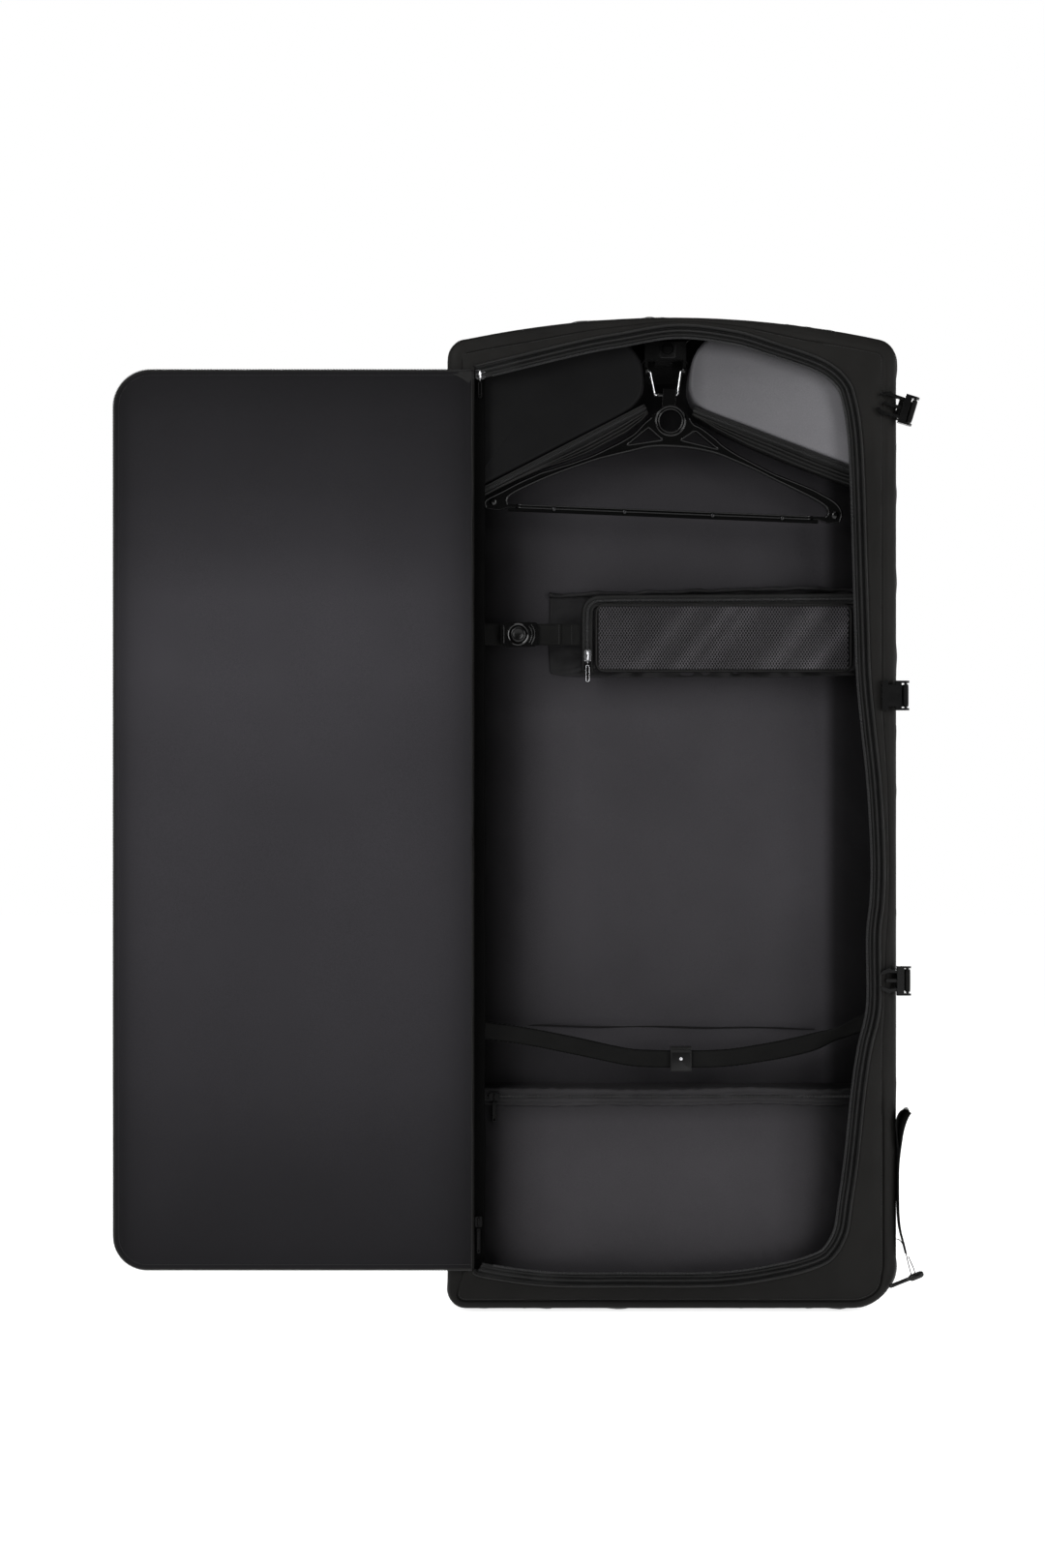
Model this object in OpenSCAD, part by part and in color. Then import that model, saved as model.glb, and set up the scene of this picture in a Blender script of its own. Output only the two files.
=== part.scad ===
// Bi-fold garment bag: soft case in two halves, split front door, inner hanger,
// mesh pouch, corner pockets, shoe pocket, straps, zips and buckles.
// X runs across the bag, +Y points out of its back, +Z is up.
// The origin is the centre of the hanging ring behind the top of the case.

/* [Case] */
// Half of the case's width
case_half_w = 252; // [250:1:254]
// Height of the crown of the case's top above the hanging ring's centre
crown_z = 35; // [34:0.5:38]
// Drop of the case's top per square millimetre from its middle
crown_drop = 0.000452; // [0.0004:0.00001:0.0005]
// Level of the case's bottom
bottom_z = -1078; // [-1082:1:-1076]
// Outer face of the back
back_y = -6; // [-7:0.5:-6]
// Depth of the case from back to front
case_d = 85; // [84:0.5:88]
// Thickness of the side wall
wall_t = 2.5; // [2:0.1:2.8]
// Level of the line the case folds on
fold_z = -550; // [-552:1:-546]
// Half of the gap between the upper and lower pieces at the fold
fold_gap = 0.5; // [0.4:0.1:1]
// Width of the zip band round the opening
band_w = 14; // [12:0.5:15]

/* [Door] */
// Width of the door panel from its hinge to its free edge
door_w = 403.5; // [400:0.5:408]
// Level of the door's top edge
door_top = -25.2; // [-26:0.1:-25]
// Level of the door's bottom edge
door_bot = -1033.2; // [-1036:0.1:-1030]
// Corner radius at the free top corner
door_r_top = 42; // [36:1:46]
// Corner radius at the free bottom corner
door_r_bot = 38; // [34:1:44]
// Whole thickness of the door
door_t = 6.9; // [6.9:0.1:7.2]

/* [Hanger] */
// Tilt of the hanger, clockwise from the front
hanger_tilt = 2.3; // [0:0.1:3]
// Thickness of the moulded hanger
hanger_t = 10; // [8:0.5:11]
// Inner radius of the hanger's eye
eye_r = 12.5; // [11:0.5:13]
// Outer radius of the hanger's eye
eye_ro = 18; // [17:0.5:18.5]
// Radius of the bail's wire
wire_r = 1.5; // [1.3:0.05:1.5]

/* [Hanging ring] */
// Inner radius of the hanging ring
ring_ri = 20; // [20:0.5:22]
// Outer radius of the hanging ring
ring_ro = 25; // [24.5:0.5:27]
// Thickness of the hanging ring
ring_t = 5; // [4:0.5:5.5]

/* [Webbing and buckles] */
// Width of the broad webbing
web_w = 25; // [24:0.5:26]
// Thickness of the webbing
web_t = 1.4; // [1.2:0.1:1.6]
// Thickness of the side-release buckles
buckle_t = 8; // [7:0.5:8.5]
// Radius of the pouch buckle's button
button_r = 10; // [9:0.5:10]

/* [Hidden] */
$fn = 48;
front_y = back_y - case_d;
fold_y = front_y - 0.6 - door_t - 0.8;
hinge_x = -222.4;
door_b = front_y - 0.6;
door_f = door_b - door_t;
hang_y = -52;
hang_c = [0, -77];
// The line of the zip round the opening, clockwise from the top of the hinge
zip_pts = [[-222, -22], [-190, -14], [-103, 7], [-60, 15], [5, 25], [70, 18], [114, 5],
  [168, -14], [195, -35], [205, -60], [211, -98], [214, -153], [216, -218], [219, -315],
  [221, -370], [226, -424], [233, -493], [237, -571], [236, -620], [232, -660], [232, -738],
  [222, -786], [215, -833], [207, -910], [200, -960], [195, -992], [183, -1015], [166, -1028],
  [125, -1040], [57, -1050], [-48, -1051], [-141, -1050], [-214, -1040], [-222, -1033]];
// Route of the thin cord: from the side to the strap's end, then as a loop down to the toggle and back
tail_route = [[252, -86, -1000], [253.8, -86.3, -1000.1], [255.6, -87.4, -1001.1], [257.4, -89.4, -1003.2],
  [259, -91.6, -1006.4], [260.4, -93.4, -1010.2], [261.4, -94.6, -1014], [262.2, -95, -1017.4]];
loop_route = [[262.3, -95, -1017.8], [263.2, -95, -1022], [264.6, -95, -1028], [266.2, -95, -1034],
  [267.5, -95, -1038.2], [269.4, -95, -1040], [271.1, -95, -1038], [270.9, -95, -1034],
  [268.6, -95, -1028], [265.9, -95, -1022], [264.2, -95, -1018]];
cord_r = 0.55;
cord_y = -95;

// Drawing helpers: arcs, smooth curves, inset curves and extrusions along Y
function arc_pts(c, r, a0, a1, n) = [for (i = [0:n]) let(a = a0 + (a1 - a0)*i/n) [c[0] + r*cos(a), c[1] + r*sin(a)]];
function crown(x) = crown_z - crown_drop*x*x;
function case_pts(i) = let(w = case_half_w, a = 11.6, xr = w - 24 + 24*sin(a), xl = w - 22 + 22*sin(a))
  concat(arc_pts([w - 50, bottom_z + 50], 50 - i, -90, 0, 10),
    arc_pts([w - 24, crown(xr) - 24*cos(a)], 24 - i, 0, 90 - a, 6),
    [for (k = [1:15]) let(x = xr - (xr + xl)*k/16) [x, crown(x) - i]],
    arc_pts([-(w - 22), crown(xl) - 22*cos(a)], 22 - i, 90 + a, 180, 6),
    arc_pts([-(w - 20), bottom_z + 20], 20 - i, 180, 270, 6));
function at(p, i) = p[max(0, min(len(p) - 1, i))];
function cr(a, b, c, d, t) = 0.5*((2*b) + (c - a)*t + (2*a - 5*b + 4*c - d)*t*t + (3*b - a - 3*c + d)*t*t*t);
function smooth(p, n) = [for (i = [0:len(p) - 2], k = [0:n - 1]) cr(at(p, i - 1), p[i], p[i + 1], at(p, i + 2), k/n), p[len(p) - 1]];
function inset(p, w) = [for (i = [0:len(p) - 1]) let(d = at(p, i + 1) - at(p, i - 1)) p[i] + w*[d[1], -d[0]]/norm(d)];
function rev(p) = [for (i = [len(p) - 1:-1:0]) p[i]];
zip_line = smooth(zip_pts, 2);
zip_inner = inset(zip_line, band_w);
module ext(y0, y1) translate([0, y1, 0]) rotate([90, 0, 0]) linear_extrude(y1 - y0) children();
module box(x0, x1, y0, y1, z0, z1) translate([x0, y0, z0]) cube([x1 - x0, y1 - y0, z1 - z0]);
module ycyl(x, z, r, y0, y1) translate([x, y1, z]) rotate([90, 0, 0]) cylinder(r = r, h = y1 - y0);
module xcyl(y, z, r, x0, x1) translate([x0, y, z]) rotate([0, 90, 0]) cylinder(r = r, h = x1 - x0);
module upper2d() translate([-400, fold_z + fold_gap]) square([800, 700]);
module lower2d() translate([-400, fold_z - fold_gap - 700]) square([800, 700]);
module case2d(i) polygon(case_pts(i));
module opening2d() polygon(zip_line);
module band2d() polygon(concat(zip_line, rev(zip_inner)));
module rrect(x0, x1, z0, z1, r) union() {
  translate([x0 + r, z0]) square([x1 - x0 - 2*r, z1 - z0]);
  translate([x0, z0 + r]) square([x1 - x0, z1 - z0 - 2*r]);
  for (x = [x0 + r, x1 - r], z = [z0 + r, z1 - r]) translate([x, z]) circle(r);
}
module rod(a, b, r) let(d = b - a, l = norm(d)) translate(a)
  rotate([0, acos(d[2]/l), atan2(d[1], d[0])]) cylinder(r = r, h = l);

// Case shell
module back_panel2d() case2d(0);
module upper_back_panel() color([0.07, 0.07, 0.075]) ext(back_y - 2, back_y) intersection() { case2d(0); upper2d(); }
module lower_back_panel() color([0.07, 0.07, 0.075]) ext(back_y - 2, back_y) intersection() { case2d(0); lower2d(); }
module upper_back_board() color([0.3, 0.3, 0.32]) ext(back_y - 4.5, back_y - 2) intersection() { case2d(8); translate([-400, fold_z + 22]) square([800, 700]); }
module lower_back_board() color([0.3, 0.3, 0.32]) ext(back_y - 4.5, back_y - 2) intersection() { case2d(8); translate([-400, fold_z - 722]) square([800, 700]); }
module gusset2d() difference() { case2d(0); case2d(wall_t); }
module upper_gusset() color([0.07, 0.07, 0.075]) ext(front_y + 2, back_y - 2) intersection() { gusset2d(); upper2d(); }
module lower_gusset() color([0.07, 0.07, 0.075]) ext(front_y + 2, back_y - 2) intersection() { gusset2d(); lower2d(); }
module border2d() difference() { case2d(0); opening2d(); }
module upper_front_border() color([0.07, 0.07, 0.075]) ext(front_y, front_y + 2) intersection() { border2d(); upper2d(); }
module lower_front_border() color([0.07, 0.07, 0.075]) ext(front_y, front_y + 2) intersection() { border2d(); lower2d(); }
module lining_half() {
  ext(back_y - 5.5, back_y - 4.5) intersection() { case2d(wall_t); children(); }
  ext(front_y + 2, back_y - 5.5) intersection() { difference() { case2d(wall_t); case2d(wall_t + 1); } children(); }
}
module upper_lining() color([0.17, 0.165, 0.185]) lining_half() upper2d();
module lower_lining() color([0.17, 0.165, 0.185]) lining_half() lower2d();
module upper_zip_tape() color([0.04, 0.04, 0.045]) ext(front_y, front_y + 1.4) difference() {
  intersection() { band2d(); upper2d(); }
  translate([-230, -60]) square([42, 60]);
}
module lower_zip_tape() color([0.04, 0.04, 0.045]) {
  ext(front_y, front_y + 1.4) intersection() { band2d(); lower2d(); }
  box(-222, -221.6, front_y, front_y + 7, -1022, -960);
  box(-222, -210, front_y + 6, front_y + 7, -1022, -960);
}

// Hanging ring and its loop
module hang_ring() color([0.6, 0.6, 0.62]) difference() {
  ycyl(0, 0, ring_ro, -ring_t/2, ring_t/2);
  ycyl(0, 0, ring_ri, -ring_t, ring_t);
}
module hang_webbing() color([0.05, 0.05, 0.055]) {
  difference() {
    box(-10, 10, -4.6, 4.6, -36, -15.8);
    box(-11, 11, -3.2, 3.2, -34.6, -17.2);
  }
  box(-10, 10, back_y, -4.6, -110, -22);
}

// Corner pockets
left_pocket = [[-246, -25], [-240, -4], [-228, 4], [-150, 18], [-70, 24], [-52, 12], [-43, 3], [-31, -14], [-31, -60], [-212, -153], [-246, -170]];
right_pocket = [[30, 3], [40, 14], [60, 24], [150, 18], [228, 4], [240, -4], [246, -25], [246, -147], [199, -129], [27, -63], [19, -42], [23, -12]];
left_room = [[-243, -28], [-237, -8], [-228, 1], [-150, 15], [-71, 21], [-54, 10], [-45, 0], [-34, -16], [-34, -59], [-212, -149], [-243, -165]];
right_room = [[33, 2], [43, 12], [62, 21], [150, 15], [228, 1], [237, -8], [243, -28], [243, -142], [199, -125], [29, -60], [22, -42], [26, -13]];
module pocket(out, room) difference() {
  ext(-74, back_y - 5.5) polygon(out);
  ext(-72.8, back_y) polygon(room);
}
module corner_pocket_left() color([0.12, 0.12, 0.13]) pocket(left_pocket, left_room);
module corner_pocket_right() color([0.3, 0.3, 0.33]) pocket(right_pocket, right_room);
module corner_pocket_zips() color([0.04, 0.04, 0.045]) {
  ext(-74, -62) polygon([[-31, -60], [-212, -153], [-246, -170], [-246, -178], [-212, -161], [-31, -68]]);
  ext(-74, -62) polygon([[27, -63], [199, -129], [246, -147], [246, -155], [199, -137], [27, -71]]);
}

// Hanger bracket, button and bail
module hanger_bracket() color([0.05, 0.05, 0.055]) difference() {
  union() {
    box(-29.4, 17.5, -60, -44, -8, 12);
    box(-29.4, -25.9, -58, -46, -25, -8);
    box(13.9, 17.5, -58, -46, -25, -8);
    box(-16, 4, -44, -15.5, -6, 10);
    box(-28, 16, -15.5, back_y - 5.5, -30, 26);
  }
  xcyl(hang_y, -20, wire_r + 0.08, -32, 20);
  ycyl(-3.6, 4, 5.2, -64, -53.5);
}
module bracket_button() color([0.35, 0.35, 0.37]) ycyl(-3.6, 4, 5, -63, -57);
module hanger_bail() color([0.8, 0.8, 0.82]) {
  xcyl(hang_y, -20, wire_r, -29.4, -24);
  xcyl(hang_y, -20, wire_r, 12, 17.5);
  xcyl(hang_y, -47, wire_r, -18, 8);
  for (q = [[-24, -18], [12, 8]]) ext(hang_y - wire_r - 0.2, hang_y + wire_r + 0.2) union() {
    polygon([[q[0] - 1.5, -18.6], [q[0] + 1.5, -18.6], [q[1] + 1.5, -48.6], [q[1] - 1.5, -48.6]]);
  }
}

// Hanger, drawn round the centre of its eye
module hang2d() translate(hang_c) rotate(-hanger_tilt) children();
// Each arm from the eye out along its bowed top edge, round its tip and back under it
arm_right = [[12, 12], [17.5, 9], [22, 4.5], [27, -2.5], [34, -5.5], [41.5, -10.2], [53, -18.6], [60.5, -25], [75, -33.7],
  [86.5, -39.3], [98, -44.8], [120, -54.9], [142.5, -62.8], [164.5, -70.8], [176, -76.4], [187, -82], [195, -88.5], [199, -96],
  [199, -102], [197, -107.5], [183, -109], [172, -105.5], [172, -102.5], [179, -101.5], [182.5, -98], [181, -92.5], [175.5, -87.5],
  [160.5, -79.6], [143, -71.8], [120.5, -62], [98, -51.8], [75.5, -43], [53.5, -35.3], [31, -31.2], [14, -29.8], [0, -29.5]];
arm_left = [[-12, 12], [-17, 8.5], [-22, 4], [-27, -0.5], [-31, -4.2], [-40, -14.6], [-46.5, -19.5], [-57, -26.3], [-68, -32.3],
  [-78.5, -38], [-89.5, -43.5], [-100.5, -47.9], [-111, -52.2], [-122, -56], [-133, -60.2], [-143.5, -63.6], [-154.5, -69], [-165, -74],
  [-176, -80], [-187, -86.6], [-197, -92], [-206, -97.5], [-208, -102], [-206, -107.5], [-191, -109], [-180, -105.5], [-180, -102],
  [-181.5, -98], [-179.5, -93.5], [-174.5, -89.2], [-164.5, -83.4], [-143, -72.6], [-121.5, -63], [-100, -54.4], [-78, -46.2],
  [-45.5, -37], [-28, -32], [-14, -29.9]];
module hanger_frame() color([0.04, 0.04, 0.045]) difference() {
  translate([hang_c[0], hang_y, hang_c[1]]) rotate([0, hanger_tilt, 0]) {
    difference() {
      union() {
        ycyl(0, 0, eye_ro, -hanger_t/2, hanger_t/2);
        box(-10, 4.6, -hanger_t/2, hanger_t/2, 10, 36);
        ext(-hanger_t/2, hanger_t/2) polygon(concat(arm_right, rev(arm_left)));
        box(-187, 179, -hanger_t/2, hanger_t/2, -105.5, -102);
      }
      ycyl(0, 0, eye_r, -hanger_t, hanger_t);
      ext(-hanger_t, hanger_t) polygon([[29, -11], [55, -30], [13, -21.5]]);
      ext(-hanger_t, hanger_t) polygon([[-25, -9.5], [-48, -29.3], [-9, -22]]);
      for (x = [-128, -48, 52, 131]) ycyl(x, -105.5, 1.85, -hanger_t, hanger_t);
    }
  }
  xcyl(hang_y, -47, wire_r + 0.08, -30, 30);
}
module trouser_bar() color([0.06, 0.06, 0.065]) ext(hang_y - 4, hang_y + 4) hang2d() difference() {
  translate([-180, -109.2]) square([352, 3.7]);
  for (x = [-128, -48, 52, 131]) translate([x, -105.5]) circle(1.85);
}
module hanger_rivets() color([0.5, 0.5, 0.52]) ext(hang_y - hanger_t/2 - 0.6, hang_y + hanger_t/2 + 0.6)
  hang2d() for (x = [-128, -48, 52, 131]) translate([x, -105.5]) circle(1.82);

// Mesh pouch with its strap and buckle
module pouch_body() color([0.1, 0.1, 0.11]) {
  difference() {
    box(-84, 215, -50, -14, -360, -286);
    box(-82.5, 213.5, -51, -15.5, -358.5, -287.5);
  }
  box(-137, 215, -14, back_y - 5.5, -366, -271);
}
module pouch_mesh() color([0.2, 0.2, 0.21]) box(-84, 215, -51.2, -50, -360, -286);
module pouch_zip() color([0.04, 0.04, 0.045]) {
  ext(-46, -32) polygon([[-102, -360], [-84, -360], [-84, -286], [215, -286], [215, -276], [-96, -276], [-102, -282]]);
}
module pouch_strap() color([0.05, 0.05, 0.055]) {
  box(-248.5, -193, -46, -44.6, -319 - web_w/2, -319 + web_w/2);
  box(-150, -102, -46, -44.6, -319 - web_w/2, -319 + web_w/2);
}
module pouch_buckle() color([0.04, 0.04, 0.045]) difference() {
  ext(-51, -41) rrect(-193, -150, -333, -305, 5);
  ycyl(-173, -319, button_r + 0.2, -52, -43.5);
}
module pouch_buckle_button() color([0.07, 0.07, 0.075]) ycyl(-173, -319, button_r, -53, -47);
module slider(x, z, w, h, y0, y1) ext(y0, y1) rrect(x - w/2, x + w/2, z - h/2, z + h/2, 2);
module puller(x, z0, z1, w, y0, y1) ext(y0, y1) difference() {
  rrect(x - w/2, x + w/2, z0, z1, w/2 - 0.01);
  translate([x, z0 + w/2 + 1]) circle(w/4);
}
module pouch_slider() color([0.7, 0.7, 0.72]) slider(-94, -343, 8, 13, -50.6, -46.3);
module pouch_puller() color([0.7, 0.7, 0.72]) puller(-94, -374, -351, 4.6, -50.6, -49);
module main_slider_top() color([0.75, 0.75, 0.77]) slider(-215.6, -29.6, 10, 10.8, -90.9, -86.6);
module main_puller_top() color([0.6, 0.6, 0.62]) puller(-215.6, -56, -36.2, 4.4, -90.8, -89.4);

// Side tabs and side-release buckles, all at the case's right edge
module tab(z, bx, by, x0) translate([0, 0, z - web_w/2]) linear_extrude(web_w) difference() {
  union() {
    polygon([[x0, -84.4], [bx + 1.8, -84.4], [bx + 1.8, by + 1.2], [bx + 3, by + 1.2], [bx + 3, -83], [x0, -83]]);
    translate([bx, by]) circle(3.3);
  }
  translate([bx, by]) circle(1.86);
}
module side_tabs_upper() color([0.05, 0.05, 0.055]) {
  translate([268, 0, -72]) rotate([0, 17, 0]) translate([-268, 0, 72]) tab(-72, 268, -96.5, 258);
  ext(-84.4, -83) polygon([[252, -54], [262, -57], [266, -70], [262, -82], [252, -84]]);
  tab(-390, 261, -96.5, 252);
}
module side_tab_lower() color([0.05, 0.05, 0.055]) tab(-709, 263, -96.5, 252);
// A male half lies left of its bar at [bx, by], in a frame turned by t about the bar's middle
module male(bx, by, z, l, t) translate([bx, 0, z]) rotate([0, t, 0]) translate([-bx, 0, -z]) {
  translate([bx, by, z - 14]) cylinder(r = 1.8, h = 28);
  for (s = [-1, 1]) translate([0, 0, z + s*14 - (s > 0 ? 0 : 2.6)]) linear_extrude(2.6) union() {
    translate([bx - 5, by - buckle_t/2]) square([5, buckle_t]);
    translate([bx, by]) circle(buckle_t/2);
  }
  box(bx - 12, bx - 4.2, by - buckle_t/2, by + buckle_t/2, z - 16.6, z + 16.6);
  for (s = [-1, 1]) ext(by - 2.5, by + 2.5) polygon([[bx - 12, z + s*12], [bx - 12, z + s*8.6], [bx - l + 9, z + s*9.2],
    [bx - l + 1, z + s*6.5], [bx - l, z + s*8], [bx - l + 2, z + s*11], [bx - l + 10, z + s*14.4], [bx - l + 12, z + s*12.4]]);
  box(bx - l + 6, bx - 12, by - 2, by + 2, z - 1.8, z + 1.8);
}
module side_buckle_top() color([0.05, 0.05, 0.055]) male(268, -96.5, -72, 39, 17);
module side_buckle_mid() color([0.05, 0.05, 0.055]) {
  translate([261, -96.5, -404]) cylinder(r = 1.8, h = 28);
  for (z = [-406.6, -376]) translate([0, 0, z]) linear_extrude(2.6) union() {
    translate([254, -96.5 - buckle_t/2]) square([7, buckle_t]);
    translate([261, -96.5]) circle(buckle_t/2);
  }
  difference() {
    box(234, 256, -96.5 - buckle_t/2, -96.5 + buckle_t/2, -406.6, -373.4);
    box(230, 254, -99.1, -93.9, -403.4, -376.6);
    for (z = [-408, -378]) box(241, 249, -103, -90, z, z + 6);
  }
}
module side_buckle_low() color([0.05, 0.05, 0.055]) male(263, -96.5, -709, 30, 0);

// Door: outer cover with hinge spine, stiffener, lining and the soft rims tucked inside it
module door2d(i, x1) let(x0 = hinge_x - 0.5 - door_w + i, r1 = door_r_top - i, r2 = door_r_bot - i)
  polygon(concat([[x1, door_bot + i], [x1, door_top - i]],
    arc_pts([x0 + r1, door_top - i - r1], r1, 90, 180, 10), arc_pts([x0 + r2, door_bot + i + r2], r2, 180, 270, 10)));
module up2d() translate([-700, fold_z + fold_gap]) square([700, 700]);
module low2d() translate([-700, fold_z - fold_gap - 700]) square([700, 700]);
module cover_half() {
  ext(door_b - 1, door_b) intersection() { door2d(0, -232); children(); }
  ext(door_f, door_b) intersection() { translate([-232, door_bot]) square([9.1, door_top - door_bot]); children(); }
}
module door_upper_cover() color([0.07, 0.07, 0.075]) cover_half() up2d();
module door_lower_cover() color([0.07, 0.07, 0.075]) cover_half() low2d();
module door_upper_board() color([0.3, 0.3, 0.32]) ext(door_f + 1, door_f + 3.2) intersection() { door2d(3, -232); up2d(); }
module door_lower_board() color([0.3, 0.3, 0.32]) ext(door_f + 1, door_f + 3.2) intersection() { door2d(3, -232); low2d(); }
module door_upper_lining() color([0.17, 0.165, 0.185]) ext(door_f, door_f + 1) intersection() { door2d(0, -232); up2d(); }
module door_lower_lining() color([0.17, 0.165, 0.185]) ext(door_f, door_f + 1) intersection() { door2d(0, -232); low2d(); }
// Rims are drawn where they lie with the door closed, less their travel, then turned over
function turned(p) = [for (q = p) [2*hinge_x - q[0], q[1]]];
rim_top = [[-204, -68], [-103, -46], [-60, -38], [5, -28], [70, -35], [114, -48], [155, -62], [166, -70], [166, -100], [-204, -100]];
rim_up = [[100, -46], [136, -46], [145, -64], [152, -98], [155, -153], [157, -218], [160, -315], [162, -370], [167, -424], [174, -493], [178, -549], [100, -549]];
rim_low = [[100, -551], [178, -551], [177, -620], [173, -660], [173, -738], [163, -786], [156, -833], [148, -910], [141, -960], [136, -990], [126, -1012], [100, -1024]];
module door_rim_top() color([0.07, 0.07, 0.075]) ext(door_b - 2.2, door_b - 1.3) polygon(turned(rim_top));
module door_rim_side_upper() color([0.07, 0.07, 0.075]) ext(door_b - 3.4, door_b - 2.5) intersection() { polygon(turned(rim_up)); up2d(); }
module door_rim_side_lower() color([0.07, 0.07, 0.075]) ext(door_b - 3.4, door_b - 2.5) intersection() { polygon(turned(rim_low)); low2d(); }

// Shoe pocket and garment strap in the lower half
module shoe_pocket() color([0.15, 0.15, 0.165]) ext(-58, -56.8) intersection() {
  case2d(wall_t + 1);
  translate([-300, -1100]) square([600, 1100 - 852]);
}
module shoe_pocket_zip() color([0.05, 0.05, 0.055]) {
  box(-248.5, 248.5, -58, -56.8, -852, -834);
  box(-248.5, 248.5, -58, back_y - 5.5, -834, -832.8);
}
module shoe_slider() color([0.5, 0.5, 0.52]) slider(-200, -843, 12, 8, -62.4, -58.3);
module shoe_puller() color([0.4, 0.4, 0.42]) puller(-200, -872, -848.4, 4.6, -62, -60.4);
module garment_strap() color([0.05, 0.05, 0.055]) ext(-50, -48.6) polygon([[-248.5, -756], [-180, -763], [-110, -776], [-60, -787],
  [-27, -791], [52, -791], [100, -785], [150, -775], [200, -757], [248.5, -741], [248.5, -761], [205, -777], [155, -795],
  [104, -805], [52, -811], [-27, -811], [-60, -807], [-112, -796], [-180, -783], [-248.5, -776]]);
module garment_strap_clip() color([0.1, 0.1, 0.105]) difference() {
  box(0, 24, -53.4, -46, -815, -787);
  box(-1, 25, -50.6, -48, -811.6, -790.4);
}

// Tail strap, its thin cords and the toggle
module tail_strap() color([0.05, 0.05, 0.055]) {
  ext(-97, -77) polygon([[252, -857], [258, -856], [263, -853], [266, -854.5], [265.6, -858], [261.4, -865],
    [257.6, -874], [255.6, -884], [254.8, -896], [254.2, -930], [254.2, -960], [255, -976], [257, -990],
    [260.4, -1003], [263.4, -1016], [261.6, -1016.6], [258.4, -1004], [254.8, -991], [253, -977], [252.5, -960],
    [252.5, -930], [252.7, -896], [253, -884], [252, -872]]);
}
function swept(p, r) = [for (i = [0:len(p) - 1], k = [0:7]) let(d = at(p, i + 1) - at(p, i - 1),
  n = cross(d, [0, 1, 0])/norm(cross(d, [0, 1, 0])), m = cross(n, d)/norm(d), a = 45*k) p[i] + r*(cos(a)*n + sin(a)*m)];
module cord_tube(route) let(p = smooth(route, 2), m = len(p)) polyhedron(points = swept(p, cord_r),
  faces = concat([[7, 6, 5, 4, 3, 2, 1, 0]], [[for (k = [0:7]) 8*(m - 1) + k]],
    [for (i = [0:m - 2], k = [0:7]) [8*i + k, 8*i + (k + 1)%8, 8*i + 8 + (k + 1)%8, 8*i + 8 + k]]));
module tail_cord() color([0.08, 0.08, 0.085]) cord_tube(tail_route);
module toggle_cord() color([0.08, 0.08, 0.085]) cord_tube(loop_route);
module tail_toggle() color([0.03, 0.03, 0.035]) {
  rod([242.6, cord_y, -1052], [266, cord_y, -1042.6], 2.2);
  rod([266, cord_y, -1042.6], [281, cord_y, -1036.6], 4);
}
module main_slider_bottom() color([0.5, 0.5, 0.52]) slider(-217.3, -980, 8, 12, -90.9, -86.6);
module main_puller_bottom() color([0.12, 0.12, 0.125]) puller(-217.3, -1015.5, -987.2, 4, -90.8, -89.4);

hang_ring();
hang_webbing();
upper_back_panel();
upper_back_board();
upper_gusset();
upper_front_border();
upper_lining();
upper_zip_tape();
corner_pocket_left();
corner_pocket_right();
corner_pocket_zips();
hanger_bracket();
bracket_button();
hanger_bail();
hanger_frame();
trouser_bar();
hanger_rivets();
pouch_body();
pouch_mesh();
pouch_zip();
pouch_strap();
pouch_buckle();
pouch_buckle_button();
pouch_slider();
pouch_puller();
main_slider_top();
main_puller_top();
side_tabs_upper();
side_buckle_top();
side_buckle_mid();
door_upper_cover();
door_upper_board();
door_upper_lining();
door_rim_top();
door_rim_side_upper();
lower_back_panel();
lower_back_board();
lower_gusset();
lower_front_border();
lower_lining();
lower_zip_tape();
shoe_pocket();
shoe_pocket_zip();
shoe_slider();
shoe_puller();
garment_strap();
garment_strap_clip();
side_tab_lower();
side_buckle_low();
tail_strap();
tail_cord();
toggle_cord();
tail_toggle();
main_slider_bottom();
main_puller_bottom();
door_lower_cover();
door_lower_board();
door_lower_lining();
door_rim_side_lower();
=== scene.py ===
import bpy
import bmesh
import math
import numpy as np
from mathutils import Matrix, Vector


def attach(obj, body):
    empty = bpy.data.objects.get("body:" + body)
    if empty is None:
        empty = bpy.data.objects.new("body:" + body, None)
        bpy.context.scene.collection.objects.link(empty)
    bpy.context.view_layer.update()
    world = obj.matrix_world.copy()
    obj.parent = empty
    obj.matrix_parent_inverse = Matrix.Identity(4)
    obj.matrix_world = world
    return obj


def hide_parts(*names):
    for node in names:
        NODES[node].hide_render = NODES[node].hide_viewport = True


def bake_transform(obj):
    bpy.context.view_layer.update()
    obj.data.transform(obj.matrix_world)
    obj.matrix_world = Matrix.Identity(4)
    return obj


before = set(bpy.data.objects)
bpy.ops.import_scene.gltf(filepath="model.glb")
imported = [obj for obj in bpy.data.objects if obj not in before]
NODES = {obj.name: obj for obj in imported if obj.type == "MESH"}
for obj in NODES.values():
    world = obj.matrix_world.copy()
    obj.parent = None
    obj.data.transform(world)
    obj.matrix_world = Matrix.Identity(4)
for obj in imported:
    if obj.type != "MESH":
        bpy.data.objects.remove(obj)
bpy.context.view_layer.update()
SC = bpy.context.scene
MM = 0.001

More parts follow.
